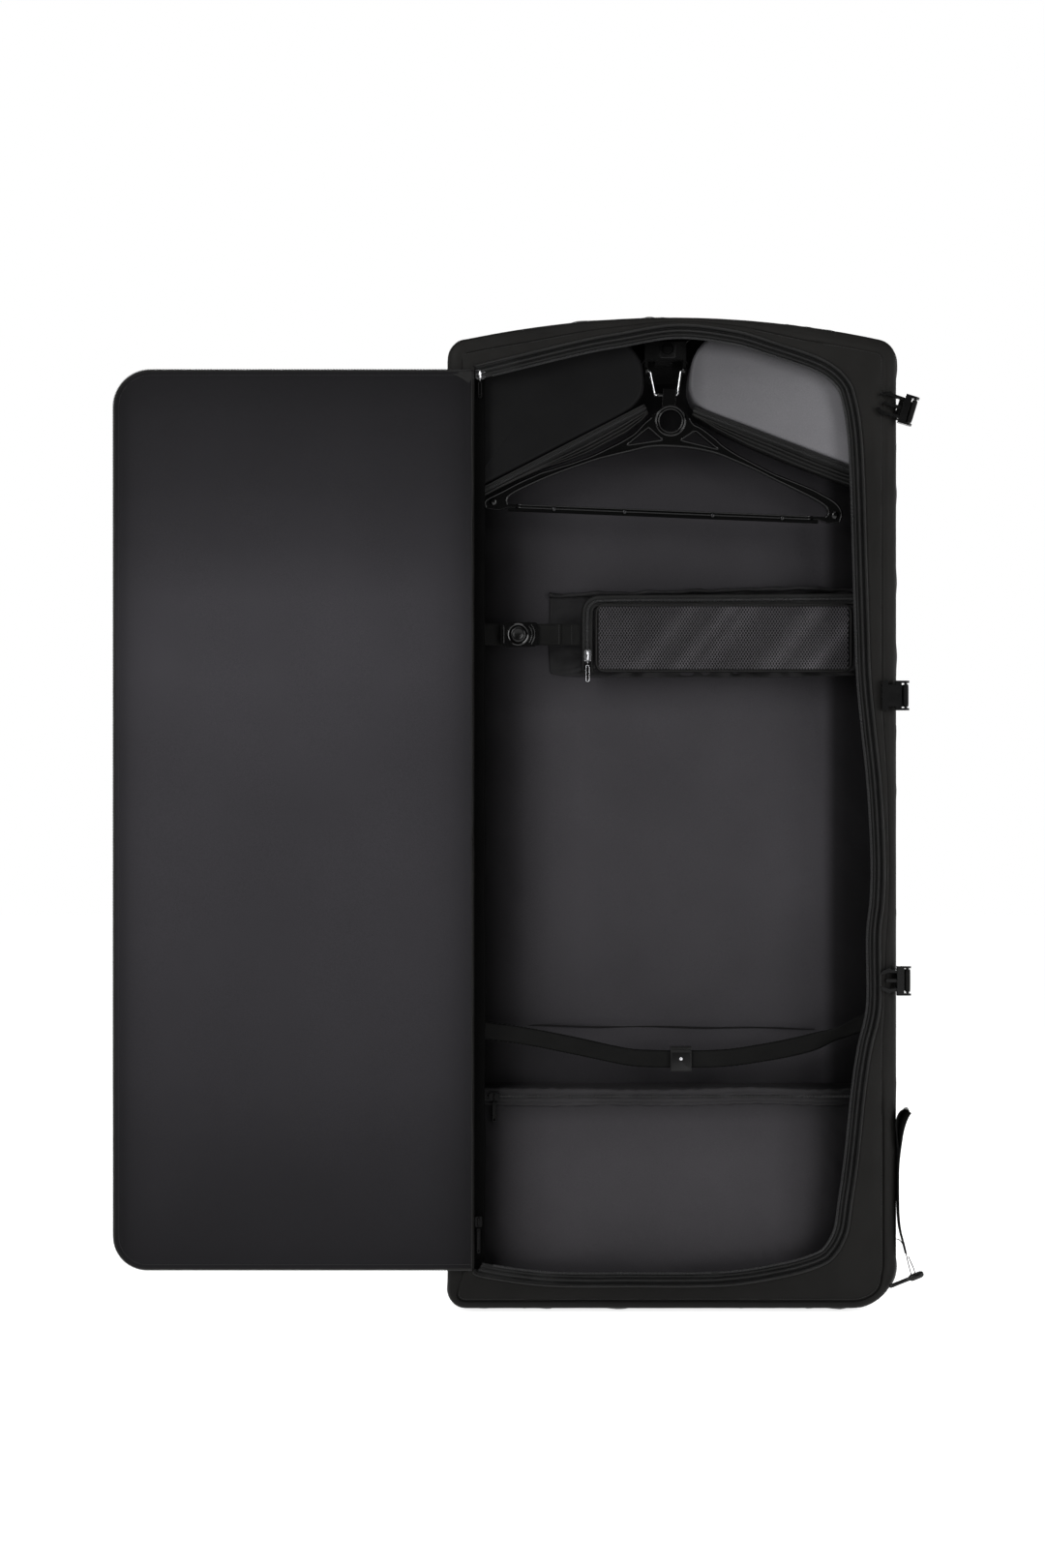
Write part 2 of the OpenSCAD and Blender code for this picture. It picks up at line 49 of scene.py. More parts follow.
# ------------------------------------------------------------------ camera
cam_data = bpy.data.cameras.new("camera")
cam = bpy.data.objects.new("camera", cam_data)
SC.collection.objects.link(cam)
cam.location = (-0.168, -0.091 - 3.0, -0.489)
cam.rotation_euler = (math.radians(90), 0, 0)
cam_data.sensor_width = 36.0
cam_data.lens = 36.0 * 3000.0 / 1758.0
cam_data.clip_start, cam_data.clip_end = 0.05, 60.0
SC.camera = cam
SC.view_settings.view_transform = "Standard"
SC.view_settings.look = "None"


# ------------------------------------------------------------------ small helpers
def unit(a):
    a = np.asarray(a, float)
    return a / np.maximum(np.linalg.norm(a, axis=-1, keepdims=True), 1e-9)


def smoothstep(a, b, x):
    t = np.clip((np.asarray(x, float) - a) / (b - a), 0, 1)
    return t * t * (3 - 2 * t)


def noisef(P, seed, lo, hi, k=12):
    """Smooth, seeded noise about -1 to 1 at points P in mm, with wavelengths from lo to hi."""
    P = np.asarray(P, float)
    r = np.random.RandomState(seed)
    out = np.zeros(P.shape[:-1])
    for _ in range(k):
        d = unit(r.normal(size=3))
        out += np.sin(2 * np.pi * (P @ d) / r.uniform(lo, hi) + r.uniform(0, 2 * np.pi))
    return out / math.sqrt(k / 1.6)


def at_path(P, step=None, n=None, closed=False):
    """A polyline sampled again at equal steps."""
    P = np.asarray(P, float)
    if closed:
        P = np.vstack([P, P[:1]])
    s = np.concatenate([[0], np.cumsum(np.linalg.norm(np.diff(P, axis=0), axis=1))])
    if n is None:
        n = max(2, int(round(s[-1] / step)) + (0 if closed else 1))
    t = np.linspace(0, s[-1], n + 1)[:-1] if closed else np.linspace(0, s[-1], n)
    return np.stack([np.interp(t, s, P[:, i]) for i in range(P.shape[1])], axis=1)


def catmull(P, n):
    P = np.asarray(P, float)
    out = []
    for i in range(len(P) - 1):
        a, b, c, d = P[max(i - 1, 0)], P[i], P[i + 1], P[min(i + 2, len(P) - 1)]
        for k in range(n):
            t = k / n
            out.append(0.5 * ((2 * b) + (c - a) * t + (2 * a - 5 * b + 4 * c - d) * t * t + (3 * b - a - 3 * c + d) * t ** 3))
    out.append(P[-1])
    return np.array(out)


def xz(P, y):
    """2D points (x, z) lifted to 3D at depth y."""
    P = np.asarray(P, float)
    return np.stack([P[:, 0], np.broadcast_to(y, len(P)).astype(float), P[:, 1]], axis=1)


def tangents(P, closed=False):
    if closed:
        return unit(np.roll(P, -1, 0) - np.roll(P, 1, 0))
    return unit(np.gradient(P, axis=0))


def grid_faces(nu, nv, cu=False, cv=False, off=0, flip=False):
    F = []
    for i in range(nu if cu else nu - 1):
        for j in range(nv if cv else nv - 1):
            a, b = i * nv + j, ((i + 1) % nu) * nv + j
            c, d = ((i + 1) % nu) * nv + (j + 1) % nv, i * nv + (j + 1) % nv
            F.append((a + off, d + off, c + off, b + off) if flip else (a + off, b + off, c + off, d + off))
    return F


def make(name, V, F, material, angle=None, fix=True, uv=None):
    me = bpy.data.meshes.new(name)
    me.from_pydata((np.asarray(V, float) * MM).tolist(), [], [tuple(int(i) for i in f) for f in F])
    me.update()
    if fix:
        bm = bmesh.new()
        bm.from_mesh(me)
        bmesh.ops.remove_doubles(bm, verts=bm.verts, dist=1e-6)
        bmesh.ops.recalc_face_normals(bm, faces=bm.faces)
        bm.to_mesh(me)
        bm.free()
    me.polygons.foreach_set("use_smooth", [True] * len(me.polygons))
    if angle:
        me.set_sharp_from_angle(angle=math.radians(angle))
    o = bpy.data.objects.new(name, me)
    SC.collection.objects.link(o)
    me.materials.append(material)
    return o


def loft(name, rings, material, closed=True, cap=False, loop=False, angle=None):
    """rings is an array [ring, point, xyz]; closed joins each ring on itself, loop joins last ring to first."""
    R = np.asarray(rings, float)
    nu, nv = R.shape[:2]
    F = grid_faces(nu, nv, cu=loop, cv=closed)
    if cap and not loop:
        F.append(tuple(range(nv)))
        F.append(tuple((nu - 1) * nv + j for j in range(nv))[::-1])
    return make(name, R.reshape(-1, 3), F, material, angle)


def frames_of(P, closed=False, up=(0, -1, 0)):
    T = tangents(P, closed)
    up = np.broadcast_to(np.asarray(up, float), T.shape)
    A = unit(np.cross(T, up))
    B = unit(np.cross(A, T))
    return T, A, B


def tube(name, P, r, material, n=8, closed=False, up=(0, -1, 0), cap=True, sx=1.0, sy=1.0):
    P = np.asarray(P, float)
    T, A, B = frames_of(P, closed, up)
    r = np.broadcast_to(np.asarray(r, float), len(P))
    a = np.linspace(0, 2 * np.pi, n, endpoint=False)
    R = P[:, None] + r[:, None, None] * (np.cos(a)[None, :, None] * sx * A[:, None] + np.sin(a)[None, :, None] * sy * B[:, None])
    return loft(name, R, material, closed=True, cap=cap and not closed, loop=closed)


def ribbon(name, P, wdir, w, t, material, K=9, closed=False, rib=0.0):
    """Flat webbing along P, with rounded selvedges and fine lengthwise ribs."""
    P = np.asarray(P, float)
    n = len(P)
    T = tangents(P, closed)
    W = np.broadcast_to(np.asarray(wdir, float), (n, 3))
    W = unit(W - (W * T).sum(1)[:, None] * T)
    N = np.cross(T, W)
    w = np.broadcast_to(np.asarray(w, float), n)
    us = np.linspace(-1, 1, K)
    prof = []
    for u in us:
        prof.append((u / 2, t / 2 * (1 - 0.4 * abs(u) ** 10) + rib * math.cos(u * math.pi * (K - 1) / 2)))
    for u in us[::-1]:
        prof.append((u / 2, -t / 2 * (1 - 0.4 * abs(u) ** 10)))
    prof = np.array(prof)
    R = P[:, None] + W[:, None] * (w[:, None] * prof[None, :, 0])[:, :, None] + N[:, None] * prof[None, :, 1][:, :, None]
    return loft(name, R, material, closed=True, cap=not closed, loop=closed)


def beads(name, P, A, B, C, a, b, c, material, rnd=None):
    """Small rounded bars at points P with half sizes a, b, c along the unit vectors A, B, C."""
    P = np.asarray(P, float)
    n = len(P)
    A, B, C = (np.broadcast_to(np.asarray(v, float), (n, 3)) for v in (A, B, C))
    V = []
    for s, kb, kc in ((-1, 0.55, 0.55), (-0.6, 1, 1), (0.6, 1, 1), (1, 0.55, 0.55)):
        for p, q in ((-1, -1), (1, -1), (1, 1), (-1, 1)):
            V.append(P + A * a * s + B * b * kb * p + C * c * kc * q)
    V = np.stack(V, axis=1).reshape(-1, 3)
    F = []
    base = [(0, 3, 2, 1), (12, 13, 14, 15)]
    for k in range(3):
        for j in range(4):
            base.append((4 * k + j, 4 * k + (j + 1) % 4, 4 * k + 4 + (j + 1) % 4, 4 * k + 4 + j))
    for i in range(n):
        F += [tuple(16 * i + q for q in f) for f in base]
    return make(name, V, F, material, fix=False)


def stitch(name, P, normal, pitch, length, r, material, closed=False, lift=0.0):
    Q = at_path(P, step=pitch, closed=closed)
    T = tangents(Q, closed)
    N = np.broadcast_to(np.asarray(normal, float), Q.shape)
    N = unit(N - (N * T).sum(1)[:, None] * T)
    return beads(name, Q + N * lift, T, np.cross(N, T), N, length / 2, r, r * 0.8, material)


def pillow(name, outline, y_back, y_front, edge, puff, material, rings=10, seed=0, wr=0.5, wl=(25, 70), centre=None, step=4.0, shape=2.2):
    """A sewn pocket: outline (x, z) counter-clockwise or not, walls from y_back, rounded front edge, puffed face."""
    Q = at_path(outline, step=step, closed=True)
    area = 0.5 * np.sum(Q[:, 0] * np.roll(Q[:, 1], -1) - np.roll(Q[:, 0], -1) * Q[:, 1])
    if area < 0:
        Q = Q[::-1]
    c = Q.mean(0) if centre is None else np.asarray(centre, float)
    T = unit(np.roll(Q, -1, 0) - np.roll(Q, 1, 0))
    N = np.stack([T[:, 1], -T[:, 0]], axis=1)
    for _ in range(4):
        N = unit(np.roll(N, 1, 0) + 2 * N + np.roll(N, -1, 0))
    R = []
    for y in np.linspace(y_back, y_front + edge, 5):
        k = math.sin(math.pi * (y_back - y) / max(y_back - y_front - edge, 1e-6))
        R.append(xz(Q - N * (0.8 * k), y))
    for a in (25, 50, 75):
        s, q = math.sin(math.radians(a)), math.cos(math.radians(a))
        R.append(xz(Q - N * edge * (1 - q), y_front + edge - edge * s))
    for t in np.linspace(0.0, 1, rings)[:-1]:
        base = Q - N * edge
        base = base + (c - base) * t
        h = puff * (1 - (1 - t) ** shape)
        R.append(xz(base, y_front - h))
    R = np.array(R)
    face = R[8:]
    d = noisef(face, seed + 5, *wl) * wr
    fade = smoothstep(0, 0.18, np.linspace(0, 1, len(face)))[:, None]
    R[8:, :, 1] += d * fade * 1.0
    nu, nv = R.shape[:2]
    V = R.reshape(-1, 3)
    V = np.vstack([V, [[c[0], R[-1, :, 1].mean() - 0.0, c[1]]]])
    F = grid_faces(nu, nv, cv=True)
    F += [((nu - 1) * nv + j, (nu - 1) * nv + (j + 1) % nv, nu * nv) for j in range(nv)]
    return make(name, V, F, material)


def plate(name, outline, y0, y1, material, bevel=0.6, seg=3, holes=()):
    """A flat moulded plate from an outline (x, z), extruded along Y, with rounded edges."""
    bm = bmesh.new()
    vs = [bm.verts.new((p[0] * MM, y0 * MM, p[1] * MM)) for p in outline]
    f = bm.faces.new(vs)
    g = bmesh.ops.extrude_face_region(bm, geom=[f])
    bmesh.ops.translate(bm, vec=(0, (y1 - y0) * MM, 0), verts=[v for v in g["geom"] if isinstance(v, bmesh.types.BMVert)])
    bmesh.ops.recalc_face_normals(bm, faces=bm.faces)
    if bevel:
        edges = [e for e in bm.edges if len(e.link_faces) == 2 and e.calc_face_angle(0) > 0.5]
        bmesh.ops.bevel(bm, geom=edges, offset=bevel * MM, segments=seg, profile=0.5, affect="EDGES", clamp_overlap=True)
    me = bpy.data.meshes.new(name)
    bm.to_mesh(me)
    bm.free()
    me.polygons.foreach_set("use_smooth", [True] * len(me.polygons))
    me.set_sharp_from_angle(angle=math.radians(40))
    o = bpy.data.objects.new(name, me)
    SC.collection.objects.link(o)
    me.materials.append(material)
    return o


def lathe(name, centre, prof, material, n=40, ring=False):
    """A turned piece round Y: prof is a list of (radius, y). ring leaves the middle open."""
    a = np.linspace(0, 2 * np.pi, n, endpoint=False)
    R = []
    for r, y in prof:
        R.append(np.stack([centre[0] + r * np.cos(a), np.full(n, float(y)), centre[1] + r * np.sin(a)], axis=1))
    return loft(name, np.array(R), material, closed=True, cap=not ring, loop=ring, angle=40)


def rounded(x0, x1, z0, z1, r, n=6):
    P = []
    for cx, cz, a0 in ((x1 - r, z1 - r, 0), (x0 + r, z1 - r, 90), (x0 + r, z0 + r, 180), (x1 - r, z0 + r, 270)):
        for k in range(n + 1):
            a = math.radians(a0 + 90 * k / n)
            P.append((cx + r * math.cos(a), cz + r * math.sin(a)))
    return P


def turn(P, deg, c=(0, 0)):
    a = math.radians(deg)
    P = np.asarray(P, float) - np.asarray(c, float)
    return np.stack([P[:, 0] * math.cos(a) - P[:, 1] * math.sin(a), P[:, 0] * math.sin(a) + P[:, 1] * math.cos(a)], axis=1) + np.asarray(c, float)


# ------------------------------------------------------------------ materials
class Nodes:
    def __init__(self, name):
        self.m = bpy.data.materials.new(name)
        self.m.use_nodes = True
        self.t = self.m.node_tree
        self.b = self.t.nodes["Principled BSDF"]
        self.co = self.new("ShaderNodeTexCoord").outputs["Object"]

    def new(self, kind, **k):
        n = self.t.nodes.new(kind)
        for a, v in k.items():
            setattr(n, a, v)
        return n

    def link(self, a, b):
        self.t.links.new(a, b)

    def math(self, op, a, b=None, c=None):
        n = self.new("ShaderNodeMath", operation=op)
        for i, v in enumerate((a, b, c)):
            if v is None:
                continue
            if isinstance(v, (int, float)):
                n.inputs[i].default_value = v
            else:
                self.link(v, n.inputs[i])
        return n.outputs[0]

    def noise(self, scale, detail=3.0, rough=0.5, stretch=None):
        n = self.new("ShaderNodeTexNoise")
        n.inputs["Scale"].default_value = scale
        n.inputs["Detail"].default_value = detail
        n.inputs["Roughness"].default_value = rough
        src = self.co
        if stretch:
            mp = self.new("ShaderNodeMapping")
            mp.inputs["Scale"].default_value = stretch
            self.link(src, mp.inputs["Vector"])
            src = mp.outputs[0]
        self.link(src, n.inputs["Vector"])
        return n.outputs["Fac"]

    def ramp(self, fac, stops):
        n = self.new("ShaderNodeValToRGB")
        e = n.color_ramp.elements
        while len(e) < len(stops):
            e.new(0.5)
        for el, (p, c) in zip(e, stops):
            el.position = p
            el.color = (*c, 1) if len(c) == 3 else c
        self.link(fac, n.inputs["Fac"])
        return n.outputs["Color"]

    def xyz(self):
        n = self.new("ShaderNodeSeparateXYZ")
        self.link(self.co, n.inputs[0])
        return n.outputs


def material(name, base, rough=0.6, metal=0.0, spec=0.5, sheen=0.0, sheen_rough=0.5, sheen_tint=(1, 1, 1), coat=0.0, coat_rough=0.2,
             vary=0.25, vary_scale=14.0, weave=None, weave_strength=0.25, kind="plain", grain=None, grain_strength=0.15,
             wrinkle=None, wrinkle_strength=0.3, rough_vary=0.12, shade=(), aniso=0.0):
    """weave is the thread pitch in mm. grain and wrinkle are noise scales in 1/m. shade is a list of (axis, [(mm,
    factor), ...]):
    painted shade and painted light multiplied into the base colour, mostly lighter in the middle than along the edges;
    an axis may be an (x, z) direction."""
    n = Nodes(name)
    b = n.b
    b.inputs["Metallic"].default_value = metal
    b.inputs["Specular IOR Level"].default_value = spec
    b.inputs["Sheen Weight"].default_value = sheen
    b.inputs["Sheen Roughness"].default_value = sheen_rough
    b.inputs["Sheen Tint"].default_value = (*sheen_tint, 1)
    b.inputs["Coat Weight"].default_value = coat
    b.inputs["Coat Roughness"].default_value = coat_rough
    b.inputs["Anisotropic"].default_value = aniso
    lo = tuple(c * (1 - vary) for c in base)
    hi = tuple(c * (1 + vary) for c in base)
    f = n.noise(vary_scale, 4.0, 0.55)
    col = n.ramp(f, [(0.3, lo), (0.7, hi)])
    if weave:
        fine = n.noise(900.0 / weave, 2.0, 0.6)
        fc = n.ramp(fine, [(0.3, (0.80, 0.80, 0.80)), (0.7, (1.15, 1.15, 1.15))])
        mx = n.new("ShaderNodeMix", data_type="RGBA", blend_type="MULTIPLY")
        mx.inputs["Factor"].default_value = 0.8
        n.link(col, mx.inputs[6])
        n.link(fc, mx.inputs[7])
        col = mx.outputs[2]
    # painted shade and light: each profile scales the colour by a factor read off along its axis
    for ax, stops in shade:
        lo_, hi_ = stops[0][0], stops[-1][0]
        if isinstance(ax, tuple):
            v = n.math("ADD", n.math("MULTIPLY", n.xyz()[0], ax[0]), n.math("MULTIPLY", n.xyz()[2], ax[1]))
        else:
            v = n.xyz()[ax]
        mr = n.new("ShaderNodeMapRange")
        mr.inputs["From Min"].default_value = lo_ * MM
        mr.inputs["From Max"].default_value = hi_ * MM
        n.link(v, mr.inputs["Value"])
        rc = n.ramp(mr.outputs[0], [((p - lo_) / (hi_ - lo_), (q, q, q)) for p, q in stops])
        mx = n.new("ShaderNodeMix", data_type="RGBA", blend_type="MULTIPLY")
        mx.inputs["Factor"].default_value = 1.0
        n.link(col, mx.inputs[6])
        n.link(rc, mx.inputs[7])
        col = mx.outputs[2]
    n.link(col, b.inputs["Base Color"])
    rf = n.noise(vary_scale * 2.3, 3.0, 0.6)
    mr = n.new("ShaderNodeMapRange")
    mr.inputs["To Min"].default_value = max(0.02, rough - rough_vary)
    mr.inputs["To Max"].default_value = min(1.0, rough + rough_vary)
    n.link(rf, mr.inputs["Value"])
    n.link(mr.outputs[0], b.inputs["Roughness"])
    # height in mm
    h = None

    def add(v):
        nonlocal h
        h = v if h is None else n.math("ADD", h, v)

    if weave:
        x, y, z = n.xyz()
        k = 2 * math.pi / (weave * MM)
        if kind == "twill":
            a = n.math("SINE", n.math("MULTIPLY", n.math("ADD", n.math("ADD", x, y), n.math("MULTIPLY", z, 0.8)), k))
            c = n.math("SINE", n.math("MULTIPLY", n.math("SUBTRACT", n.math("ADD", x, y), z), k * 0.33))
            add(n.math("MULTIPLY", n.math("ADD", a, n.math("MULTIPLY", c, 0.4)), 0.03 * weave_strength))
        elif kind == "rib":
            a = n.math("SINE", n.math("MULTIPLY", n.math("ADD", x, n.math("ADD", y, z)), k))
            c = n.math("SINE", n.math("MULTIPLY", n.math("SUBTRACT", x, n.math("ADD", y, z)), k))
            add(n.math("MULTIPLY", n.math("MULTIPLY", a, c), 0.12 * weave_strength))
        else:
            a = n.math("SINE", n.math("MULTIPLY", n.math("ADD", x, y), k))
            c = n.math("SINE", n.math("MULTIPLY", n.math("ADD", z, y), k))
            add(n.math("MULTIPLY", n.math("MULTIPLY", a, c), 0.06 * weave_strength))
    if grain:
        add(n.math("MULTIPLY", n.noise(grain, 3.0, 0.6), 0.1 * grain_strength))
    if wrinkle:
        add(n.math("MULTIPLY", n.noise(wrinkle, 4.0, 0.5, stretch=(1.0, 1.0, 0.55)), 4.0 * wrinkle_strength))
    if h is not None:
        bump = n.new("ShaderNodeBump")
        bump.inputs["Strength"].default_value = 1.0
        bump.inputs["Distance"].default_value = MM
        n.link(h, bump.inputs["Height"])
        n.link(bump.outputs[0], b.inputs["Normal"])
    return n.m


# painted shade on the door lining: factors that darken it towards the hinge, the free edge, the top and the bottom
DOOR_PAINTED_SHADE_X = [(-627, 0.45), (-614, 0.60), (-606, 0.80), (-595, 0.90), (-579, 0.97), (-525, 1.0), (-374, 1.0), (-287, 0.93), (-265, 0.88), (-249, 0.78), (-238, 0.65), (-222, 0.45)]
DOOR_PAINTED_SHADE_Z = [(-1034, 0.26), (-998, 0.34), (-944, 0.42), (-889, 0.50), (-824, 0.62), (-695, 0.73), (-586, 0.80), (-478, 0.86), (-370, 0.98), (-283, 0.90), (-218, 0.62), (-154, 0.46), (-78, 0.34), (-38, 0.24), (-25, 0.17)]
# painted shade and light on the lining: near black along the hinge, a painted highlight band before the right wall and
# a painted shadow beside it, dark at the top under the hanger and pockets, darker from below the garment strap down
LINING_PAINTED_SHADE_X = [(-252, 0.01), (-221, 0.015), (-212, 0.03), (-201, 0.12), (-185, 0.30), (-162, 0.62), (-135, 0.85), (-101, 0.97), (-40, 0.93), (155, 1.05), (178, 1.2), (192, 0.28), (205, 0.16), (252, 0.12)]
LINING_PAINTED_SHADE_Z = [(-1078, 0.3), (-845, 0.35), (-825, 0.6), (-784, 0.85), (-745, 0.80), (-700, 0.85), (-645, 0.92), (-600, 0.96), (-411, 1.0), (-366, 0.72), (-210, 0.74), (-144, 0.6), (-110, 0.4), (-40, 0.1), (35, 0.05)]
# painted shade on the shoe pocket and its zip band: darker towards the sides, the bottom and the top edge
SHOE_PAINTED_SHADE_X = [(-248, 0.04), (-212, 0.08), (-201, 0.17), (-184, 0.42), (-162, 0.70), (-135, 0.90), (-102, 1.0), (117, 1.0), (150, 0.72), (172, 0.40), (188, 0.22), (248, 0.12)]
SHOE_PAINTED_SHADE_Z = [(-1078, 0.6), (-1037, 0.78), (-1026, 0.85), (-1004, 0.92), (-960, 1.0), (-916, 1.0), (-873, 0.88), (-856, 0.62), (-850, 0.5)]

SATIN = dict(rough=0.58, spec=0.07, sheen=0.0, weave=0.7, kind="twill", weave_strength=0.5, grain=500, grain_strength=0.3)
# painted shade: the shell cloth darkens towards the bottom of the case
M_SHELL = material("shell_cloth", (0.0096, 0.0092, 0.0086), rough=0.50, spec=0.08, weave=0.9, weave_strength=0.5, vary=0.18, vary_scale=9, wrinkle=18, wrinkle_strength=0.10, grain=420, grain_strength=0.4,
                   shade=[(2, [(-1080, 0.62), (-1060, 0.72), (-1030, 0.85), (-960, 1.0), (36, 1.0)])])
M_DOOR = material("door_satin", (0.0360, 0.0345, 0.0390), vary=0.08, vary_scale=5, wrinkle=6, wrinkle_strength=0.10, shade=[(0, DOOR_PAINTED_SHADE_X), (2, DOOR_PAINTED_SHADE_Z)], **SATIN)
M_LINING = material("lining_satin", (0.0380, 0.0362, 0.0400), vary=0.10, vary_scale=5, wrinkle=7, wrinkle_strength=0.14, shade=[(0, LINING_PAINTED_SHADE_X), (2, LINING_PAINTED_SHADE_Z)], **SATIN)
M_SHOE = material("shoe_satin", (0.0385, 0.0365, 0.0400), vary=0.08, vary_scale=6, wrinkle=9, wrinkle_strength=0.14, shade=[(0, SHOE_PAINTED_SHADE_X), (2, SHOE_PAINTED_SHADE_Z)], **SATIN)
# the corner pockets are one satin in two painted tones: the left painted near black as shade, the right painted pale as
# a lamp's reflection, brighter towards its outer side and darker at its inner corner and top
M_POCKET_L_PAINTED_SHADE = material("pocket_satin_left_painted_shade", (0.0050, 0.0050, 0.0052), rough=0.5, spec=0.06, weave=0.7, kind="twill", weave_strength=0.4, vary=0.12, wrinkle=10, wrinkle_strength=0.10)
M_POCKET_R_PAINTED_HIGHLIGHT = material("pocket_satin_right_painted_highlight", (0.112, 0.110, 0.117), rough=0.45, spec=0.15, weave=0.7, kind="twill", weave_strength=0.35, vary=0.05, wrinkle=10, wrinkle_strength=0.08,
                      shade=[(0, [(18, 0.50), (40, 0.85), (80, 0.9), (150, 1.05), (205, 1.15), (232, 1.1), (248, 0.8)]), (2, [(-150, 1.05), (-90, 1.02), (-40, 0.98), (-10, 0.85), (25, 0.5)])])
# the pouch cloth's strong random tone is partly the satin's own variation and partly painted sheen
M_POUCH = material("pouch_satin", (0.0105, 0.0102, 0.0108), rough=0.45, spec=0.14, weave=0.7, kind="twill", weave_strength=0.4, vary=0.5, vary_scale=28, wrinkle=45, wrinkle_strength=0.16)
# black tape at the hinge; above its low part it stands in for shade, painted shade
M_BLACK_TAPE_AND_SHADE = material("black_tape_and_shade", (0.0012, 0.0012, 0.0012), rough=0.7, spec=0.03, weave=0.8, kind="rib", weave_strength=0.4, vary=0.2, grain=600, grain_strength=0.4)
# painted shade: the zip band darkens towards its sides, by the same factors as the shoe pocket
M_SHOEBAND = material("shoe_band_satin", (0.0210, 0.0200, 0.0215), rough=0.5, spec=0.12, weave=0.7, kind="twill", weave_strength=0.5, vary=0.15, wrinkle=20, wrinkle_strength=0.1, shade=[(0, SHOE_PAINTED_SHADE_X)])
M_BLACKMETAL = material("black_metal", (0.010, 0.010, 0.010), rough=0.30, metal=1.0, vary=0.15, rough_vary=0.1, grain=700, grain_strength=0.15)
M_PIPING = material("piping", (0.0066, 0.0064, 0.0060), rough=0.34, spec=0.22, weave=0.8, kind="rib", weave_strength=0.3, vary=0.2)
M_GUSSET = material("gusset_cloth", (0.0050, 0.0048, 0.0050), rough=0.5, spec=0.12, weave=0.7, kind="twill", weave_strength=0.4, vary=0.2, wrinkle=45, wrinkle_strength=0.16)
M_TAPE = material("zip_tape", (0.0055, 0.0055, 0.0054), rough=0.45, spec=0.16, weave=0.8, kind="rib", weave_strength=0.4, vary=0.2, grain=600, grain_strength=0.4)
M_COIL = material("zip_coil", (0.0080, 0.0080, 0.0085), rough=0.30, spec=0.40, vary=0.2, grain=800, grain_strength=0.2)
M_WEB = material("webbing", (0.0052, 0.0052, 0.0050), rough=0.58, spec=0.08, weave=1.5, kind="rib", weave_strength=1.3, vary=0.2, grain=700, grain_strength=0.4)
M_THREAD = material("thread", (0.020, 0.020, 0.020), rough=0.5, spec=0.3, vary=0.2, grain=2500, grain_strength=0.2)
# painted sheen: slanted lighter streaks across the pouch's net and the satin behind it, where its folds catch the light
NET_PAINTED_SHEEN_U = [(100, 0.8), (190, 0.85), (206, 1.30), (216, 0.95), (228, 0.85), (240, 1.45), (249, 1.0), (257, 1.3), (272, 0.9), (300, 0.8), (318, 1.35), (330, 0.85), (344, 1.1), (354, 1.7), (366, 0.85), (385, 0.7)]
M_NET = material("net_cord", (0.062, 0.059, 0.064), rough=0.45, spec=0.2, vary=0.25, vary_scale=8, grain=900, grain_strength=0.3, shade=[((0.76, -0.65), NET_PAINTED_SHEEN_U)])
M_NETBACK = material("net_backing_satin", (0.0085, 0.0082, 0.0088), rough=0.42, spec=0.12, weave=0.7, kind="twill", weave_strength=0.4, vary=0.2, wrinkle=45, wrinkle_strength=0.16, shade=[((0.76, -0.65), NET_PAINTED_SHEEN_U)])
M_PLASTIC = material("moulded_plastic", (0.0022, 0.0022, 0.0022), rough=0.26, spec=0.25, vary=0.15, grain=1500, grain_strength=0.35)
M_GLOSS = material("gloss_plastic", (0.0012, 0.0012, 0.0012), rough=0.16, spec=0.42, vary=0.15, grain=900, grain_strength=0.18, rough_vary=0.04)
M_BAR = material("bar_rubber", (0.0010, 0.0010, 0.0010), rough=0.5, spec=0.04, vary=0.2, grain=1800, grain_strength=0.4)
M_CHROME = material("polished_wire", (0.82, 0.82, 0.84), rough=0.10, metal=1.0, vary=0.04, rough_vary=0.05, grain=300, grain_strength=0.05)
M_CAST = material("polished_cast", (0.62, 0.62, 0.64), rough=0.20, metal=1.0, vary=0.08, rough_vary=0.08, grain=600, grain_strength=0.12)
M_DARKMETAL = material("gunmetal", (0.030, 0.030, 0.031), rough=0.33, metal=1.0, vary=0.15, rough_vary=0.1, grain=700, grain_strength=0.15)
M_STEEL = material("brushed_steel", (0.34, 0.34, 0.35), rough=0.32, metal=1.0, vary=0.06, rough_vary=0.1, grain=1200, grain_strength=0.2, aniso=0.4)
M_CORD = material("braided_cord", (0.0080, 0.0080, 0.0080), rough=0.5, spec=0.25, weave=0.5, kind="rib", weave_strength=0.6, vary=0.2)
M_BINDING = material("binding", (0.0060, 0.0058, 0.0056), rough=0.45, spec=0.16, weave=0.8, kind="rib", weave_strength=0.4, vary=0.2)

# ------------------------------------------------------------------ thin cord of the tail strap (built first)
tail_route = [[252, -86, -1000], [253.8, -86.3, -1000.1], [255.6, -87.4, -1001.1], [257.4, -89.4, -1003.2],
              [259, -91.6, -1006.4], [260.4, -93.4, -1010.2], [261.4, -94.6, -1014], [262.2, -95, -1017.4]]
loop_route = [[262.3, -95, -1017.8], [263.2, -95, -1022], [264.6, -95, -1028], [266.2, -95, -1034],
              [267.5, -95, -1038.2], [269.4, -95, -1040], [271.1, -95, -1038], [270.9, -95, -1034],
              [268.6, -95, -1028], [265.9, -95, -1022], [264.2, -95, -1018]]
cord_path = catmull(np.array(tail_route + loop_route, float), 4)
cord = tube("tail_cord_loop", cord_path, 0.55, M_CORD, n=8, up=(0.03, -1, 0.02))
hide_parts("tail_cord", "toggle_cord")

